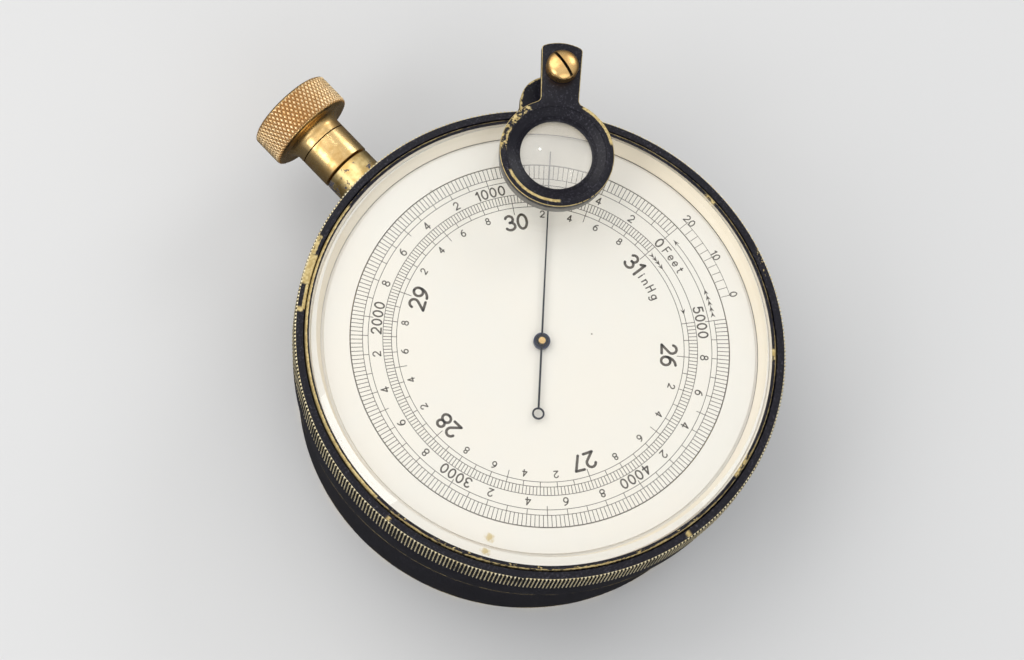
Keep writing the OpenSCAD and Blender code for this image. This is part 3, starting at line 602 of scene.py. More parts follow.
class Ink:
    """Gathers flat strokes as thin closed solids that stand a hair proud of the dial."""

    def __init__(self):
        self.verts = []
        self.faces = []

    def solid(self, outline):
        """A thin solid on a convex outline."""
        base = len(self.verts)
        count = len(outline)
        self.verts += [(x, y, dial_z + ink_rise) for x, y in outline]
        self.verts += [(x, y, dial_z - ink_sink) for x, y in outline]
        self.faces.append(list(range(base, base + count)))
        self.faces.append(list(range(base + 2 * count - 1, base + count - 1, -1)))
        for i in range(count):
            j = (i + 1) % count
            self.faces.append([base + i, base + j, base + count + j, base + count + i])

    def ribbon(self, points, width, closed=False):
        """A strip of constant width along points."""
        base = len(self.verts)
        count = len(points)
        for i, (x, y) in enumerate(points):
            before = points[i - 1] if (i or closed) else points[0]
            after = points[(i + 1) % count] if (i < count - 1 or closed) else points[-1]
            side = Vector((before[1] - after[1], after[0] - before[0])).normalized() * width / 2
            for sign in (1, -1):
                for z in (dial_z + ink_rise, dial_z - ink_sink):
                    self.verts.append((x + sign * side.x, y + sign * side.y, z))
        spans = count if closed else count - 1
        for i in range(spans):
            a, b = base + 4 * i, base + 4 * ((i + 1) % count)
            for p, q in ((0, 2), (2, 3), (3, 1), (1, 0)):
                self.faces.append([a + p, b + p, b + q, a + q])
        if not closed:
            self.faces.append([base, base + 1, base + 3, base + 2])
            last = base + 4 * (count - 1)
            self.faces.append([last + 2, last + 3, last + 1, last])

    def dot(self, x, y, width):
        turn = [2 * pi * k / 10 for k in range(10)]
        self.solid([(x + width / 2 * cos(a), y + width / 2 * sin(a)) for a in turn])

    def tick(self, angle, low, high, width=tick_w):
        self.ribbon([polar(low, angle), polar(high, angle)], width)

    def ring(self, radius, start=0, end=360, width=line_w):
        steps = max(2, round(abs(end - start) / 1.5))
        closed = end - start == 360
        count = steps if closed else steps + 1
        points = [polar(radius, start + (end - start) * i / steps) for i in range(count)]
        self.ribbon(points, width, closed)

    def arrow(self, radius, angle, way):
        """A barbed head that points clockwise for way 1 and anticlockwise for way -1."""
        length, wing, notch = 1.5, 0.62, 0.95
        ahead = degrees(1 / radius) * way
        tip = polar(radius, angle)
        for side in (wing, -wing):
            barb = polar(radius + side, angle - length * ahead)
            outline = [tip, barb, polar(radius, angle - notch * ahead)]
            self.solid(outline if side * way > 0 else outline[::-1])

    def text(self, word, angle, radius, height, weight, spacing=0.3):
        """Letters round the dial, their tops outwards, centred on an angle."""
        widths = [GLYPHS[c][0] for c in word]
        x = -(sum(widths) + spacing * (len(word) - 1)) / 2
        for c, w in zip(word, widths):
            middle = angle + degrees((x + w / 2) * height / radius)
            self.glyph(c, middle, radius, height, weight)
            x += w + spacing

    def glyph(self, c, angle, radius, height, weight):
        a = radians(angle)
        cx, cy = polar(radius, angle)
        w, strokes = GLYPHS[c]
        for stroke in strokes:
            placed = []
            for gx, gy in stroke:
                x, y = (gx - w / 2) * height, (gy - 0.5) * height
                placed.append((cx + x * cos(a) + y * sin(a),
                               cy - x * sin(a) + y * cos(a)))
            for part in straight_parts(placed):
                self.ribbon(part, weight)
                self.dot(*part[0], weight)
                self.dot(*part[-1], weight)

    def piece(self, name, material):
        return make_object(name, self.verts, self.faces, [material])


def straight_parts(points):
    """Splits a stroke where it turns sharply, so that each part's corners can be mitred."""
    parts = [[points[0]]]
    for i in range(1, len(points)):
        parts[-1].append(points[i])
        if i < len(points) - 1:
            a = Vector(points[i]) - Vector(points[i - 1])
            b = Vector(points[i + 1]) - Vector(points[i])
            if a.angle(b) > radians(40):
                parts.append([points[i]])
    return parts


def arc(cx, cy, rx, ry, start, end, steps):
    """Points of an elliptical arc, from a start to an end angle, anticlockwise from +X."""
    turn = [radians(start + (end - start) * i / steps) for i in range(steps + 1)]
    return [(cx + rx * cos(a), cy + ry * sin(a)) for a in turn]


# Rounded engraver's letters, one unit high: (width, strokes)
GLYPHS = {
    "0": (0.6, [arc(0.3, 0.5, 0.3, 0.5, 90, 450, 22)]),
    "1": (0.26, [[(0.02, 0.8), (0.24, 1), (0.24, 0)]]),
    "2": (0.6, [arc(0.3, 0.7, 0.29, 0.3, 165, -38, 12) + [(0, 0), (0.6, 0)]]),
    "3": (0.6, [arc(0.29, 0.755, 0.26, 0.245, 155, -90, 12),
                 arc(0.29, 0.265, 0.31, 0.265, 90, -155, 13)]),
    "4": (0.64, [[(0.44, 0), (0.44, 1), (0, 0.28), (0.64, 0.28)]]),
    "5": (0.6, [[(0.54, 1), (0.12, 1), (0.06, 0.55)]
                 + arc(0.28, 0.33, 0.32, 0.33, 133, -150, 13)]),
    "6": (0.6, [arc(0.62, 0.34, 0.61, 0.66, 100, 180, 8),
                 arc(0.3, 0.31, 0.29, 0.31, 90, 450, 18)]),
    "7": (0.58, [[(0, 1), (0.58, 1), (0.18, 0)]]),
    "8": (0.6, [arc(0.3, 0.765, 0.24, 0.235, -90, 270, 16),
                 arc(0.3, 0.265, 0.3, 0.265, -90, 270, 18)]),
    "9": (0.6, [arc(-0.02, 0.66, 0.61, 0.66, -80, 0, 8), arc(0.3, 0.69, 0.29, 0.31, 90, 450, 18)]),
    "F": (0.52, [[(0, 0), (0, 1), (0.52, 1)], [(0, 0.53), (0.42, 0.53)]]),
    "e": (0.5, [[(0.01, 0.32), (0.49, 0.32)] + arc(0.25, 0.32, 0.25, 0.31, 5, 318, 14)]),
    "t": (0.34, [[(0.14, 0.85), (0.14, 0.12), (0.22, 0), (0.34, 0)], [(0, 0.62), (0.32, 0.62)]]),
    "i": (0.1, [[(0.05, 0), (0.05, 0.6)], [(0.05, 0.8), (0.05, 0.86)]]),
    "n": (0.44, [[(0, 0), (0, 0.6)], arc(0.22, 0.38, 0.22, 0.22, 180, 0, 8) + [(0.44, 0)]]),
    "H": (0.56, [[(0, 0), (0, 1)], [(0.56, 0), (0.56, 1)], [(0, 0.53), (0.56, 0.53)]]),
    "g": (0.5, [arc(0.25, 0.33, 0.25, 0.28, 0, 360, 14),
                 [(0.5, 0.6), (0.5, -0.08)] + arc(0.25, -0.08, 0.25, 0.2, 0, -145, 7)[1:]]),
}

# Radii of the scales' circles
FEET_OUT = dial_r - 0.08
FEET_IN = 45.95
FEET_LINE = 44.53
INCH_LINE = 40.77
INCH_OUT = 38.55
INCH_IN = 37.25
VERNIER_IN = dial_r + 0.25
VERNIER_OUT = 51.85

FEET_HALF = FEET_LINE - 1.0
INCH_HALF = INCH_IN - 1.9
FEET_PER_DECADE = 62759
VERNIER_TICK_W, VERNIER_LINE_W = 0.14, 0.12

# Lettering: radius, height, stroke weight and, where it isn't 0.3, spacing
HUNDREDS = (42.55, 1.95, 0.32)
THOUSANDS = (42.5, 2.45, 0.42, 0.34)
TENTHS = (35.3, 1.7, 0.30)
INCHES = (33.3, 3.9, 0.70, 0.24)
VERNIER_TENS = (52.85, 1.85, 0.31, 0.36)
FEET_LETTERS = (42.55, 2.2, 0.31)
INHG_LETTERS = (32.9, 2.2, 0.34)

# Angles from the zero: single letters, arrows, the ends of the vernier
FEET_AT = (3.8, 6.65, 9.35, 12.2)
INHG_AT = (6.2, 9.6, 13.5, 17.7)
FEET_ARROWS = (2.5, 21.7, 23.7, 25.6, 27.7, 29.7)
INCH_ARROWS = (3.1, 4.95, 6.8, 8.9, 28.7)
VERNIER_START, VERNIER_END = 0.75, 25.6


def feet_place(feet):
    return zero_angle - feet * feet_angle


def inch_place(inches):
    """The inch scale is the feet scale's altitude as pressure, for dry air at 10 degrees C."""
    return feet_place(FEET_PER_DECADE * log10(31 / inches))


def draw_feet(work):
    last = feet_place(feet_range) + 360
    work.ring(FEET_OUT)
    work.ring(FEET_IN, last - 360, zero_angle)
    work.ring(FEET_IN, zero_angle + 2.3, last - 2.2)
    work.ring(FEET_LINE)
    for feet in range(0, feet_range + 1, 20):
        low = FEET_IN
        if feet % 100 == 0:
            low = FEET_LINE
        if feet % 500 == 0:
            low = FEET_HALF
        work.tick(feet_place(feet), low, FEET_OUT)
    for feet in range(0, feet_range + 1, 200):
        if feet % 1000:
            work.text(str(feet % 1000 // 100), feet_place(feet), *HUNDREDS)
        else:
            work.text(str(feet), feet_place(feet), *THOUSANDS)
    for letter, angle in zip("Feet", FEET_AT):
        work.glyph(letter, zero_angle + angle, *FEET_LETTERS)
    for angle in FEET_ARROWS:
        work.arrow(FEET_IN, zero_angle + angle, -1)


def draw_inches(work):
    last = inch_place(25.8) + 360
    work.ring(INCH_LINE)
    work.ring(INCH_OUT, last - 360, zero_angle)
    work.ring(INCH_OUT, zero_angle + 3, last)
    work.ring(INCH_IN)
    for hundredths in range(2580, 3101, 2):
        low, high = INCH_OUT, INCH_LINE
        if hundredths % 10 == 0:
            low = INCH_IN
        if hundredths % 50 == 0:
            low = INCH_HALF
        work.tick(inch_place(hundredths / 100), low, high)
    for tenths in range(260, 311, 2):
        if tenths % 10:
            work.text(str(tenths % 10), inch_place(tenths / 10), *TENTHS)
        else:
            work.text(str(tenths // 10), inch_place(tenths / 10), *INCHES)
    for letter, angle in zip("inHg", INHG_AT):
        work.glyph(letter, zero_angle + angle, *INHG_LETTERS)
    for angle in INCH_ARROWS:
        work.arrow(INCH_OUT, zero_angle + angle, 1)


def draw_vernier(work):
    start, end = zero_angle + VERNIER_START, zero_angle + VERNIER_END
    work.ring(VERNIER_OUT, start, end, VERNIER_LINE_W)
    for i in range(11):
        high = VERNIER_OUT + (0.6 if i % 5 == 0 else 0)
        work.tick(start + (end - start) * i / 10, VERNIER_IN, high, VERNIER_TICK_W)
    for word, i in (("20", 0), ("10", 5), ("0", 10)):
        work.text(word, start + (end - start) * i / 10, *VERNIER_TENS)


def make_scales():
    material = ink("scale_ink")
    scales = [("feet", draw_feet, "case"), ("inch", draw_inches, "case")]
    scales += [("vernier", draw_vernier, "vernier")]
    for name, draw, body in scales:
        work = Ink()
        draw(work)
        finish_piece(work.piece(name + "_scale", material), body)


# Case, rims and glass

def make_case():
    wall = [(case_in, 2.8), (case_in, 0, 0.15), (case_r, 0, 0.5)]
    wall += [(case_r, wall_top), (case_in, wall_top)]
    material = lacquer("case_lacquer", [(case_r, 0.42)], 0.26)
    drum = turned("case_drum", rounded(wall), [material])
    finish_piece(drum, "case", "case_body")
    neck_r, neck_z = case_r - 0.02, wall_top + 0.02
    shoulder = [
        (neck_r, shoulder_low), (shoulder_r, shoulder_low, 0.5), (shoulder_r, shoulder_top, 0.2),
        (spigot_r, shoulder_top), (spigot_r, seat_z), (case_in, seat_z), (case_in, neck_z),
        (neck_r, neck_z),
    ]
    edges = [(shoulder_r, shoulder_low + 0.4), (shoulder_r, shoulder_top)]
    material = lacquer("shoulder_lacquer", edges, 0.25)
    ring = turned("shoulder", rounded(shoulder), [material])
    finish_piece(ring, "case", "shoulder_ring")
    bevel_slope = (glass_top - glass_z - glass_edge) / bevel_w
    seat = glass_z + glass_edge + fit_gap
    grip = seat + (spigot_r - bezel_in) * bevel_slope
    rim = [
        (spigot_r, bezel_low), (bezel_r, bezel_low), (bezel_r, bezel_top - 0.4),
        (bezel_r - 0.35, bezel_top, 0.2), (bezel_in, grip + 0.1), (bezel_in, grip),
        (spigot_r, seat),
    ]
    edges = [(bezel_r - 0.15, bezel_top - 0.2)]
    patches = [
        (-92, -12, bezel_r - 0.6, bezel_r + 0.3, 0.5),
        (-180, -92, bezel_r - 0.2, bezel_r + 0.3, 0.16),
        (-178, -95, bezel_in - 0.1, bezel_r, 0.03),
    ]
    for start, end in ((90, 93), (134, 137), (162, 169)):
        patches.append((start, end, bezel_in, bezel_r, 0.2))
    material = lacquer("bezel_lacquer", edges, 0.16, patches=patches)
    bezel = turned("glass_rim", rounded(rim), [material], 320)
    finish_piece(bezel, "case", "glass_bezel")


def make_glass():
    pane = [
        (0, glass_z), (glass_r, glass_z), (glass_r, glass_z + glass_edge),
        (glass_r - bevel_w, glass_top), (0, glass_top),
    ]
    material = clear("window_glass", (0.99, 0.993, 0.985), 1.5, 0.002)
    window = turned("window", pane, [material], 320, sharp=5)
    finish_piece(window, "case", "glass", slot="clear_glass")


def make_dial():
    dress("dial_plate", silvered("dial_silver"))
    stain = (polar(53.9, -121.8), 1.1)
    dress("vernier_ring", silvered("vernier_silver", stain=stain))
    under = glass_z - 0.02
    step = glass_z - 0.35
    spigot = spigot_r - fit_gap
    cone = [
        (flange_in, dial_z - 0.3), (flange_in, dial_z), (flange_r, under), (flange_r + 0.02, step),
        (glass_r - 0.02, step), (glass_r, under), (spigot, under), (spigot, seat_z),
        (case_in, seat_z), (case_in, dial_z - 0.3),
    ]
    warm, pale = (0.88, 0.775, 0.61), (0.90, 0.82, 0.69)
    # Beyond flange_r, on the shelf under the glass edge, the flange carries a painted dark green
    # shade.
    material = silvered("flange_silver", warm, pale, 0.12, rim=flange_r)
    flange = turned("flange", cone, [material], 320)
    finish_piece(flange, "case", "flange_ring", slot="silvered_brass")


# Reeded ring

def reed_row(radius, height, depth, count):
    """Four points per reed: a narrow land on its crest and a groove between two reeds."""
    shape = ((0, 0), (0.24, 0), (0.46, depth), (0.78, depth))
    row = []
    for i in range(count):
        for share, drop in shape:
            row.append(along_z(radius - drop, height, 2 * pi * (i + share - 0.12) / count))
    return row


def reeded_lacquer():
    """Lacquer that is worn off the reeds' crests, along the upper edge and in some patches."""
    shader = Shader("reeded_lacquer")
    radius, height, angle = shader.turned_place()
    broad = shader.noise(9, 2)
    fine = shader.noise(1.0, 4, 0.7)
    ragged = shader.total(radius, (fine, 0.16))
    crest = shader.step(ragged, reed_r - 0.06, reed_r + 0.04)
    ends = shader.edge_distance(radius, height, [(reed_r - 0.08, reed_top - 0.12)])
    reach = shader.times(shader.step(shader.total(broad, fine), 0.4, 0.9), 0.36)
    worn = shader.step(shader.math("SUBTRACT", reach, ends), -0.04, 0.04)
    worn = shader.math("MAXIMUM", worn, shader.times(crest, shader.step(broad, 0.2, 0.5)))
    patches = [
        (-34.5, -27, reed_in, reed_r, 0.5), (-27, -22, 62.1, 63.3, 0.25),
        (-41, -34.5, reed_in, 62, 0.3), (-173, -172, 61.5, 63, 0.2), (-98, -97, 62, 63, 0.2),
        (-41.5, -40.5, 61.6, 63.2, 0.3), (108, 115, 62, 63.2, 0.05),
    ]
    worn = rub_patches(shader, worn, radius, angle, fine, patches)
    on_reeds = shader.step(radius, reed_r - 0.5, reed_r - 0.4)
    dull = shader.mix(on_reeds, BRASS_DULL, CREST_DULL)
    bright = shader.mix(on_reeds, BRASS_WORN, CREST_WORN)
    lacquer_coat(shader, worn, dull, bright)
    return shader.material


def make_reeded_ring():
    count, chamfer, depth = 400, 0.35, 0.42
    rows = [
        (lip_r, reed_low, 0),
        (reed_r - 0.75, reed_low, 0),
        (reed_r - 0.28, reed_low + chamfer * 0.5, 0.16),
        (reed_r, reed_low + chamfer, depth),
        (reed_r, reed_top - 0.28, depth),
        (reed_r - 0.12, reed_top - 0.08, 0.3),
        (reed_r - 0.3, reed_top, 0.1),
        (reed_r - 0.5, reed_top, 0),
        (reed_in + 0.2, reed_top, 0),
        (reed_in, reed_top - 0.2, 0),
        (reed_in, lip_top, 0),
        (lip_r, lip_top, 0),
    ]
    verts = [v for row in rows for v in reed_row(*row, count)]
    faces = row_faces(len(rows), 4 * count)
    piece = make_object("reeded_ring_skin", verts, faces, [reeded_lacquer()], 25)
    finish_piece(piece, "reeded_ring", "lens_ring")


# Knob

knob_y = knob_low[1]
neck_y = knob_y + hub_l
head_y = neck_y + neck_l
knob_end = knob_high[1]
knob_grain = ((0, 0, knob_z), "Y")


def make_knob():
    groove_half, groove_depth = 0.17, 0.3
    flare = 2.4
    dish = 0.12
    body = [(0, knob_y), (hub_r, knob_y, 0.25), (hub_r, neck_y - groove_half)]
    body += [(hub_r - groove_depth, neck_y), (hub_r, neck_y + groove_half)]
    body += arc(hub_r + flare, head_y - flare, flare, flare, 180, 90, 10)
    body += [(head_r - 1.3, head_y), (head_r - 0.9, head_y + dish), (head_r - 0.5, head_y + 0.5)]
    body += [(head_r - 0.5, knob_end - 0.5), (head_r - 0.9, knob_end - dish)]
    body += [(head_r - 1.3, knob_end), (hub_r, knob_end), (hub_r - 0.4, knob_end - dish)]
    body += [(0, knob_end - dish)]
    material = brass("knob_brass", roughness=0.22, grain=knob_grain, spots=0.03, groove=neck_y)
    piece = turned("knob_body", rounded(body), [material], 160, along_knob, 28)
    finish_piece(piece, "vernier_knob", "knob", slot="brass")


def knurl_brass():
    """Worn bright on the crests of the knurling and dark in its grooves."""
    shader = Shader("knurl_brass", Metallic=1.0)
    radius, _, _ = shader.turned_place(*knob_grain)
    ragged = shader.total(radius, (shader.noise(2), 0.12))
    deep = shader.step(ragged, head_r - 0.02, head_r - 0.30)
    patina = shader.step(shader.noise(4, 4, 0.6), 0.35, 0.68)
    crest = shader.mix(patina, (1.0, 0.77, 0.47), (0.90, 0.64, 0.33))
    tone = shader.mix(deep, crest, (0.50, 0.30, 0.13))
    shader.set(Base_Color=tone, Roughness=shader.blend(deep, 0.34, 0.6))
    shader.bump(shader.noise(0.3), 0.006)
    return shader.material


def make_knurl():
    """A ring of crossed grooves, which fade out at both its ends."""
    count, samples, rows = 60, 8, 48
    depth, groove_w, lead = 0.5, 0.62, 0.6
    margin, ease_l, ease_depth = 0.35, 0.45, 0.35
    low, high = head_y + margin, knob_end - margin
    inner_r = head_r - 1.2
    pitch = 2 * pi * head_r / count
    steps = count * samples
    outline = [(inner_r, low, True)]
    outline += [(head_r, low + (high - low) * k / rows, False) for k in range(rows + 1)]
    outline += [(inner_r, high, True)]
    verts = []
    for radius, height, inner in outline:
        ease = min(1, (height - low) / ease_l, (high - height) / ease_l)
        for k in range(steps):
            u = k / samples
            v = lead * (height - low) / pitch
            across = min(abs((u + v + 0.5) % 1 - 0.5), abs((u - v + 0.5) % 1 - 0.5)) * 2
            groove = max(0, 1 - across / groove_w)
            drop = 0 if inner else depth * groove + ease_depth * (1 - ease)
            verts.append(along_knob(radius - drop, height, 2 * pi * k / steps))
    faces = row_faces(len(outline), steps)
    knurl = make_object("knob_knurl", verts, faces, [knurl_brass()], 20)
    finish_piece(knurl, "vernier_knob", slot="brass")


def make_tube():
    bore_r, tube_low = shaft_r + fit_gap, case_in - tube_depth
    tube = [(bore_r, tube_low), (tube_r, tube_low), (tube_r, tube_end, 0.3), (bore_r, tube_end)]
    shader = Shader("tube_brass", Metallic=1.0)
    remnant = shader.total(shader.noise(1.4, 4, 0.7), (shader.noise(5, 2), 0.6))
    up = shader.node("SeparateXYZ", [shader.place]).outputs[2]
    low_side = shader.step(up, knob_z + 3, knob_z - 5)
    black = shader.step(shader.total(remnant, (low_side, 0.2)), 0.90, 0.95)
    patina = shader.step(shader.noise(3.5, 4, 0.6), 0.35, 0.66)
    tone = shader.mix(patina, (0.88, 0.68, 0.32), (0.60, 0.40, 0.14))
    shader.set(
        Base_Color=shader.mix(black, tone, BLACK_DUSTY),
        Metallic=shader.math("SUBTRACT", 1.0, black),
        Roughness=shader.blend(black, 0.34, 0.5),
    )
    shader.bump(shader.total(shader.noise(0.5, 4), black), 0.012)
    piece = turned("pendant", rounded(tube), [shader.material], 128, along_knob)
    finish_piece(piece, "case", "pendant_tube", slot="brass")


# Magnifier

def arm_outline():
    """The arm seen from above, in its own axes: the cell's disc, the bar and its bowed tip."""
    waist, tip_half = 5.02, 5.4
    fillet = 1.6
    meet = sqrt((cell_r + fillet) ** 2 - (waist + fillet) ** 2)
    turn = degrees(atan2(waist + fillet, meet))
    right = arc(0, 0, cell_r, cell_r, -90, 90 - turn, 40)
    right += arc(waist + fillet, meet, fillet, fillet, 270 - turn, 180, 8)[1:]
    reach = arm_tip - lens_reach
    bow = 12.0
    shoulder = reach - bow + sqrt(bow ** 2 - tip_half ** 2)
    sweep = degrees(asin((tip_half - 1.6) / bow))
    tip = arc(0, reach - bow, bow, bow, 90 - sweep, 90, 6)
    right += rounded([(waist, meet), (tip_half, shoulder, 1.1), tip[0]])[1:-1] + tip
    left = [(-x, y) for x, y in reversed(right[1:-1])]
    return right + left


def flat_plate(name, outlines, low, high, bevel, materials, place):
    """A plate on closed outlines. Its rounded edges take the second material."""
    curve = bpy.data.curves.new(name, "CURVE")
    curve.dimensions = "2D"
    curve.fill_mode = "BOTH"
    curve.extrude = (high - low) / 2 * MM - bevel * MM
    curve.bevel_depth = bevel * MM
    curve.bevel_resolution = 2
    curve.offset = -bevel * MM
    for outline in outlines:
        spline = curve.splines.new("POLY")
        spline.points.add(len(outline) - 1)
        for point, (x, y) in zip(spline.points, outline):
            point.co = (x * MM, y * MM, 0, 1)
        spline.use_cyclic_u = True
    shape = add_object(name + "_curve", curve)
    mesh = final_mesh(shape)
    bpy.data.objects.remove(shape)
    middle = (low + high) / 2
    verts = [place(v.co.x / MM, v.co.y / MM, middle + v.co.z / MM) for v in mesh.vertices]
    faces = [list(face.vertices) for face in mesh.polygons]
    slots = [1 if 0.08 < abs(face.normal.z) < 0.995 else 0 for face in mesh.polygons]
    bpy.data.meshes.remove(mesh)
    merged = {}
    remap = []
    for v in verts:
        key = tuple(round(c, 3) for c in v)
        remap.append(merged.setdefault(key, (len(merged), v))[0])
    kept = []
    for face, slot in zip(faces, slots):
        face = [remap[v] for v in face]
        if len(set(face)) == len(face):
            kept.append((face, slot))
    verts = [v for _, v in merged.values()]
    faces, slots = zip(*kept)
    return make_object(name, verts, faces, materials, 32, slots)


def on_lens(x, y, z):
    """From the arm's own axes, centred on the lens, to the row frame."""
    cx, cy = polar(lens_reach + y, lens_angle)
    a = radians(lens_angle)
    return cx + x * cos(a), cy - x * sin(a), z


def circle(radius, steps, centre=(0, 0)):
    return arc(*centre, radius, radius, 0, 360 * (steps - 1) / steps, steps - 1)


def worn_edge(name, cover, centre, inside):
    """A plate's rounded edge, mostly rubbed through, but not inside a radius about a centre."""
    shader = Shader(name)
    ragged = shader.total(shader.noise(0.9, 4, 0.7), (shader.noise(6, 2), 0.5))
    rubbed = shader.step(ragged, 0.86 - cover, 0.92 - cover)
    radius, _, _ = shader.turned_place(centre)
    lacquer_coat(shader, shader.times(rubbed, shader.step(radius, inside, inside + 0.1)))
    return shader.material


def make_arm():
    centre = (*polar(lens_reach, lens_angle), 0)
    patches = [
        (-45, 14, cell_in + 0.3, cell_r - 0.2, 0.13), (72, 122, cell_r - 0.8, cell_r, 0.4),
        (-139, -70, cell_in - 0.25, cell_r - 1.2, 0.45),
    ]
    flat = lacquer("arm_lacquer", centre=centre, patches=patches)
    edge = worn_edge("arm_edge", 0.3, centre, cell_in + 0.6)
    screw_hole = circle(screw_hole_r, 32, (0, pivot_reach - lens_reach))
    outlines = [arm_outline(), circle(cell_in, 128), screw_hole]
    plate = flat_plate("arm_plate", outlines, arm_top - arm_t, arm_top, 0.16, [flat, edge], on_lens)
    finish_piece(plate, "magnifier", "lens_arm")


# The seat in the cell that the lens lies on
seat_r = aperture_r + 1.2
lens_z = cell_low + 0.7


def make_cell():
    wall_r, rim_r = cell_r - 0.3, cell_in + 0.9
    arm_low = arm_top - arm_t + 0.05
    wall = [
        (cell_in, arm_top - 0.3), (cell_in, lens_z), (seat_r, lens_z), (seat_r, cell_low, 0.2),
        (wall_r, cell_low, 0.3), (wall_r, arm_low), (rim_r, arm_low), (rim_r, arm_top - 0.3),
    ]
    # Black paint worn through to brass in places. The paint's grey tones are a painted reflection
    # of the silvered dial, not the paint's own colour; the brass patches are real wear.
    shader = Shader("cell_wall_painted_reflection")
    worn = shader.step(shader.noise(3.0, 4, 0.65), 0.66, 0.72)
    cloud = shader.step(shader.noise(5), 0.3, 0.7)
    grey = shader.mix(cloud, (0.20, 0.195, 0.18), (0.12, 0.118, 0.11))
    shader.set(Base_Color=shader.mix(worn, grey, BRASS_DULL), Metallic=worn, Roughness=0.45)
    shader.bump(shader.noise(0.4, 4), 0.01)
    piece = turned("cell_wall", rounded(wall), [shader.material], 192, along_lens(lens_reach))
    finish_piece(piece, "magnifier")
    low_z, high_z = arm_top - 1.7, arm_top - 0.25
    start_r, end_r = aperture_r + 0.3, cell_in - 0.15
    dish = [(aperture_r, low_z - 0.6), (aperture_r, low_z - 0.2), (start_r, low_z)]
    for share in (0.10, 0.20, 0.30):
        radius = start_r + (end_r - start_r) * share
        height = low_z + (high_z - low_z) * share
        dish += [(radius - 0.08, height - 0.04), (radius, height - 0.1)]
        dish += [(radius + 0.02, height + 0.02)]
    dish += [(end_r, high_z), (cell_in, high_z)]
    dish += [(cell_in, low_z - 1.4), (cell_in - 0.7, low_z - 0.7)]
    material = lacquer("dish_lacquer")
    piece = turned("lens_seat_ring", dish, [material], 192, along_lens(lens_reach), 25)
    finish_piece(piece, "magnifier", "lens_retainer")


def make_lens():
    """A biconvex lens with a flat rim, which is less curved below than above."""
    lens_r = cell_in - 0.1
    upper_r, lower_r = lens_r - 1.2, aperture_r + 1

    def crown(radius):
        return 1.2 * (1 - (radius / lens_r) ** 2)

    lower = [lower_r * k / 16 for k in range(17)]
    upper = [upper_r * k / 20 for k in range(20, -1, -1)]
    section = [(r, 0.35 - crown(r) / 2 + lens_z) for r in lower]
    section += [(seat_r, lens_z), (lens_r, lens_z), (lens_r, lens_z + 0.8)]
    section += [(r, lens_z + 0.6 + crown(r)) for r in upper]
    material = clear("lens_glass", (0.99, 0.98, 0.955), 1.6, 0.001, 0.03, 0.84)
    piece = turned("lens", section, [material], 160, along_lens(lens_reach), 20)
    finish_piece(piece, "magnifier", "magnifier_lens", slot="clear_glass")


def finish_bracket():
    """The lug keeps its CAD mesh, with its round edge rubbed bright."""
    lug_r, lug_t = 7.7, 2.2
    middle = on_lens(-1.4, reed_r + 2.0 - lens_reach, 0)
    edges = [(lug_r, reed_top), (lug_r, reed_top - lug_t)]
    dress("arm_bracket", lacquer("bracket_lacquer", edges, 0.4, middle))


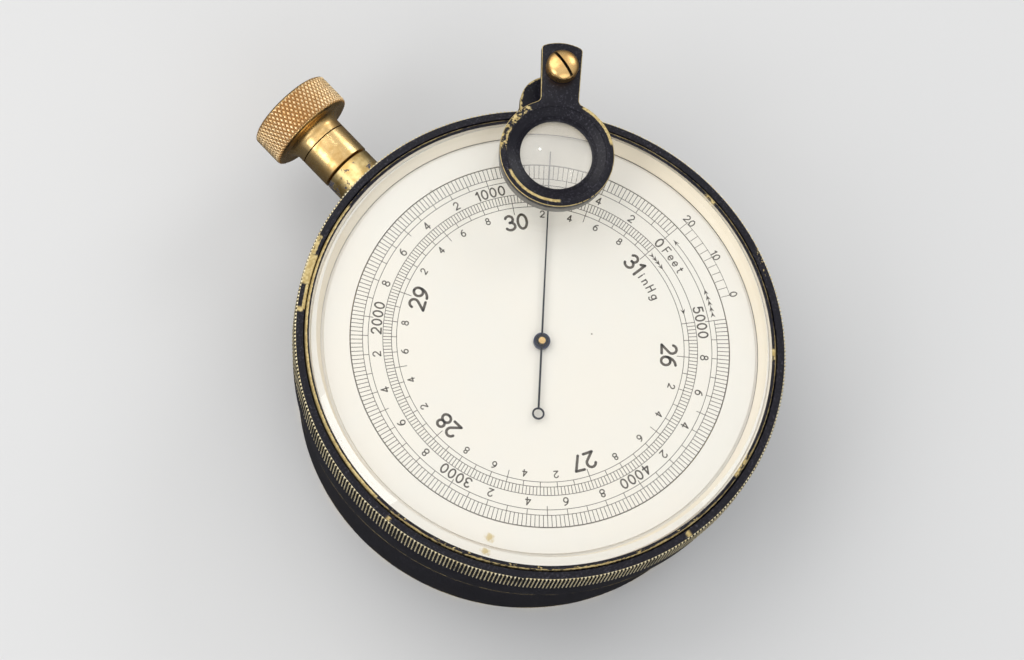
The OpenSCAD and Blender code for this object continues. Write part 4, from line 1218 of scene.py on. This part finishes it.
def make_screw():
    """The domed screw on the arm, with its slot cut in."""
    side_h, slot_w, slot_depth, slot_angle = 2.2, 0.8, 1.3, 128
    cx, cy = polar(pivot_reach, lens_angle)
    radius = screw_right - cx
    low = arm_top + fit_gap
    dome_h = screw_high - low - side_h
    turn = [radians(90 * k / 14) for k in range(15)]
    dome = [(0, low), (radius - 0.15, low), (radius, low + 0.2)]
    dome += [(radius * cos(a), low + side_h + dome_h * sin(a)) for a in turn]
    material = brass("screw_brass", (0.94, 0.62, 0.26), (0.68, 0.38, 0.12), 0.24)
    # The slot's cut faces take near-black metal: a painted shade inside the slot, not the brass's
    # own colour.
    dark = plain_metal("slot_painted_shade", (0.05, 0.035, 0.02), 0.6)
    head = turned("pivot_screw_head", dome, [material, dark], 96, along_lens(pivot_reach), 40)
    cutter_mesh = bpy.data.meshes.new("slot_cutter")
    build = bmesh.new()
    bmesh.ops.create_cube(build, size=1)
    build.to_mesh(cutter_mesh)
    build.free()
    cutter_mesh.materials.append(dark)
    cutter = add_object("slot_cutter", cutter_mesh)
    cutter.location = (cx * MM, cy * MM, screw_high * MM)
    cutter.rotation_euler = (0, 0, radians(-lens_angle + slot_angle))
    cutter.scale = (4 * radius * MM, slot_w * MM, 2 * slot_depth * MM)
    bpy.context.view_layer.update()
    cut = head.modifiers.new("slot", "BOOLEAN")
    cut.operation = "DIFFERENCE"
    cut.object = cutter
    cut.solver = "EXACT"
    cut.material_mode = "TRANSFER"
    result = final_mesh(head)
    head.modifiers.clear()
    head.data = result
    bpy.data.objects.remove(cutter)
    result.set_sharp_from_angle(angle=radians(35))
    finish_piece(head, "reeded_ring", "arm_screw", slot="brass")


# Finishes of the CAD nodes that stay

def finish_nodes():
    """Every CAD node that shows as it is, or that lies inside, gets its own finish."""
    finishes = {
        "back_cover": lacquer("cover_lacquer", [(case_in - 0.2, 0)], 0.2, chips=0.03),
        "pointer": plain_metal("needle_blue", (0.02, 0.024, 0.036), 0.4),
        "pointer_collet": plain_metal("collet_blue", (0.03, 0.045, 0.10), 0.25),
        "knob_shaft": plain_metal("shaft_steel", (0.55, 0.56, 0.58), 0.3),
        "hairspring": plain_metal("hairspring_blue", (0.05, 0.08, 0.2), 0.3),
        "capsule": silvered("capsule_silver", metal=0.8, roughness=0.35, specks=False),
    }
    for name, rough in (("back_screws", 0.35), ("bracket_screws", 0.35), ("arm_washer", 0.35),
                        ("adjusting_screw", 0.3), ("pointer_arbor", 0.25)):
        finishes[name] = brass(name + "_brass", roughness=rough)
    movement_brass = brass("movement_brass", (0.70, 0.52, 0.24), (0.45, 0.30, 0.12), 0.3)
    movement_steel = plain_metal("movement_steel", (0.50, 0.51, 0.54), 0.3)
    steel_nodes = {"base_screws", "bridge_screws", "main_spring", "drum_chain", "capsule_post",
                   "link", "rocker_shaft"}
    for name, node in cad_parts.items():
        if node.hide_render or name in ("dial_plate", "vernier_ring", "arm_bracket"):
            continue
        default = movement_steel if name in steel_nodes else movement_brass
        dress(name, finishes.get(name, default))


make_camera()
make_stage()
make_case()
make_glass()
make_dial()
make_scales()
make_reeded_ring()
make_knob()
make_knurl()
make_tube()
make_arm()
make_cell()
make_lens()
finish_bracket()
make_screw()
finish_nodes()
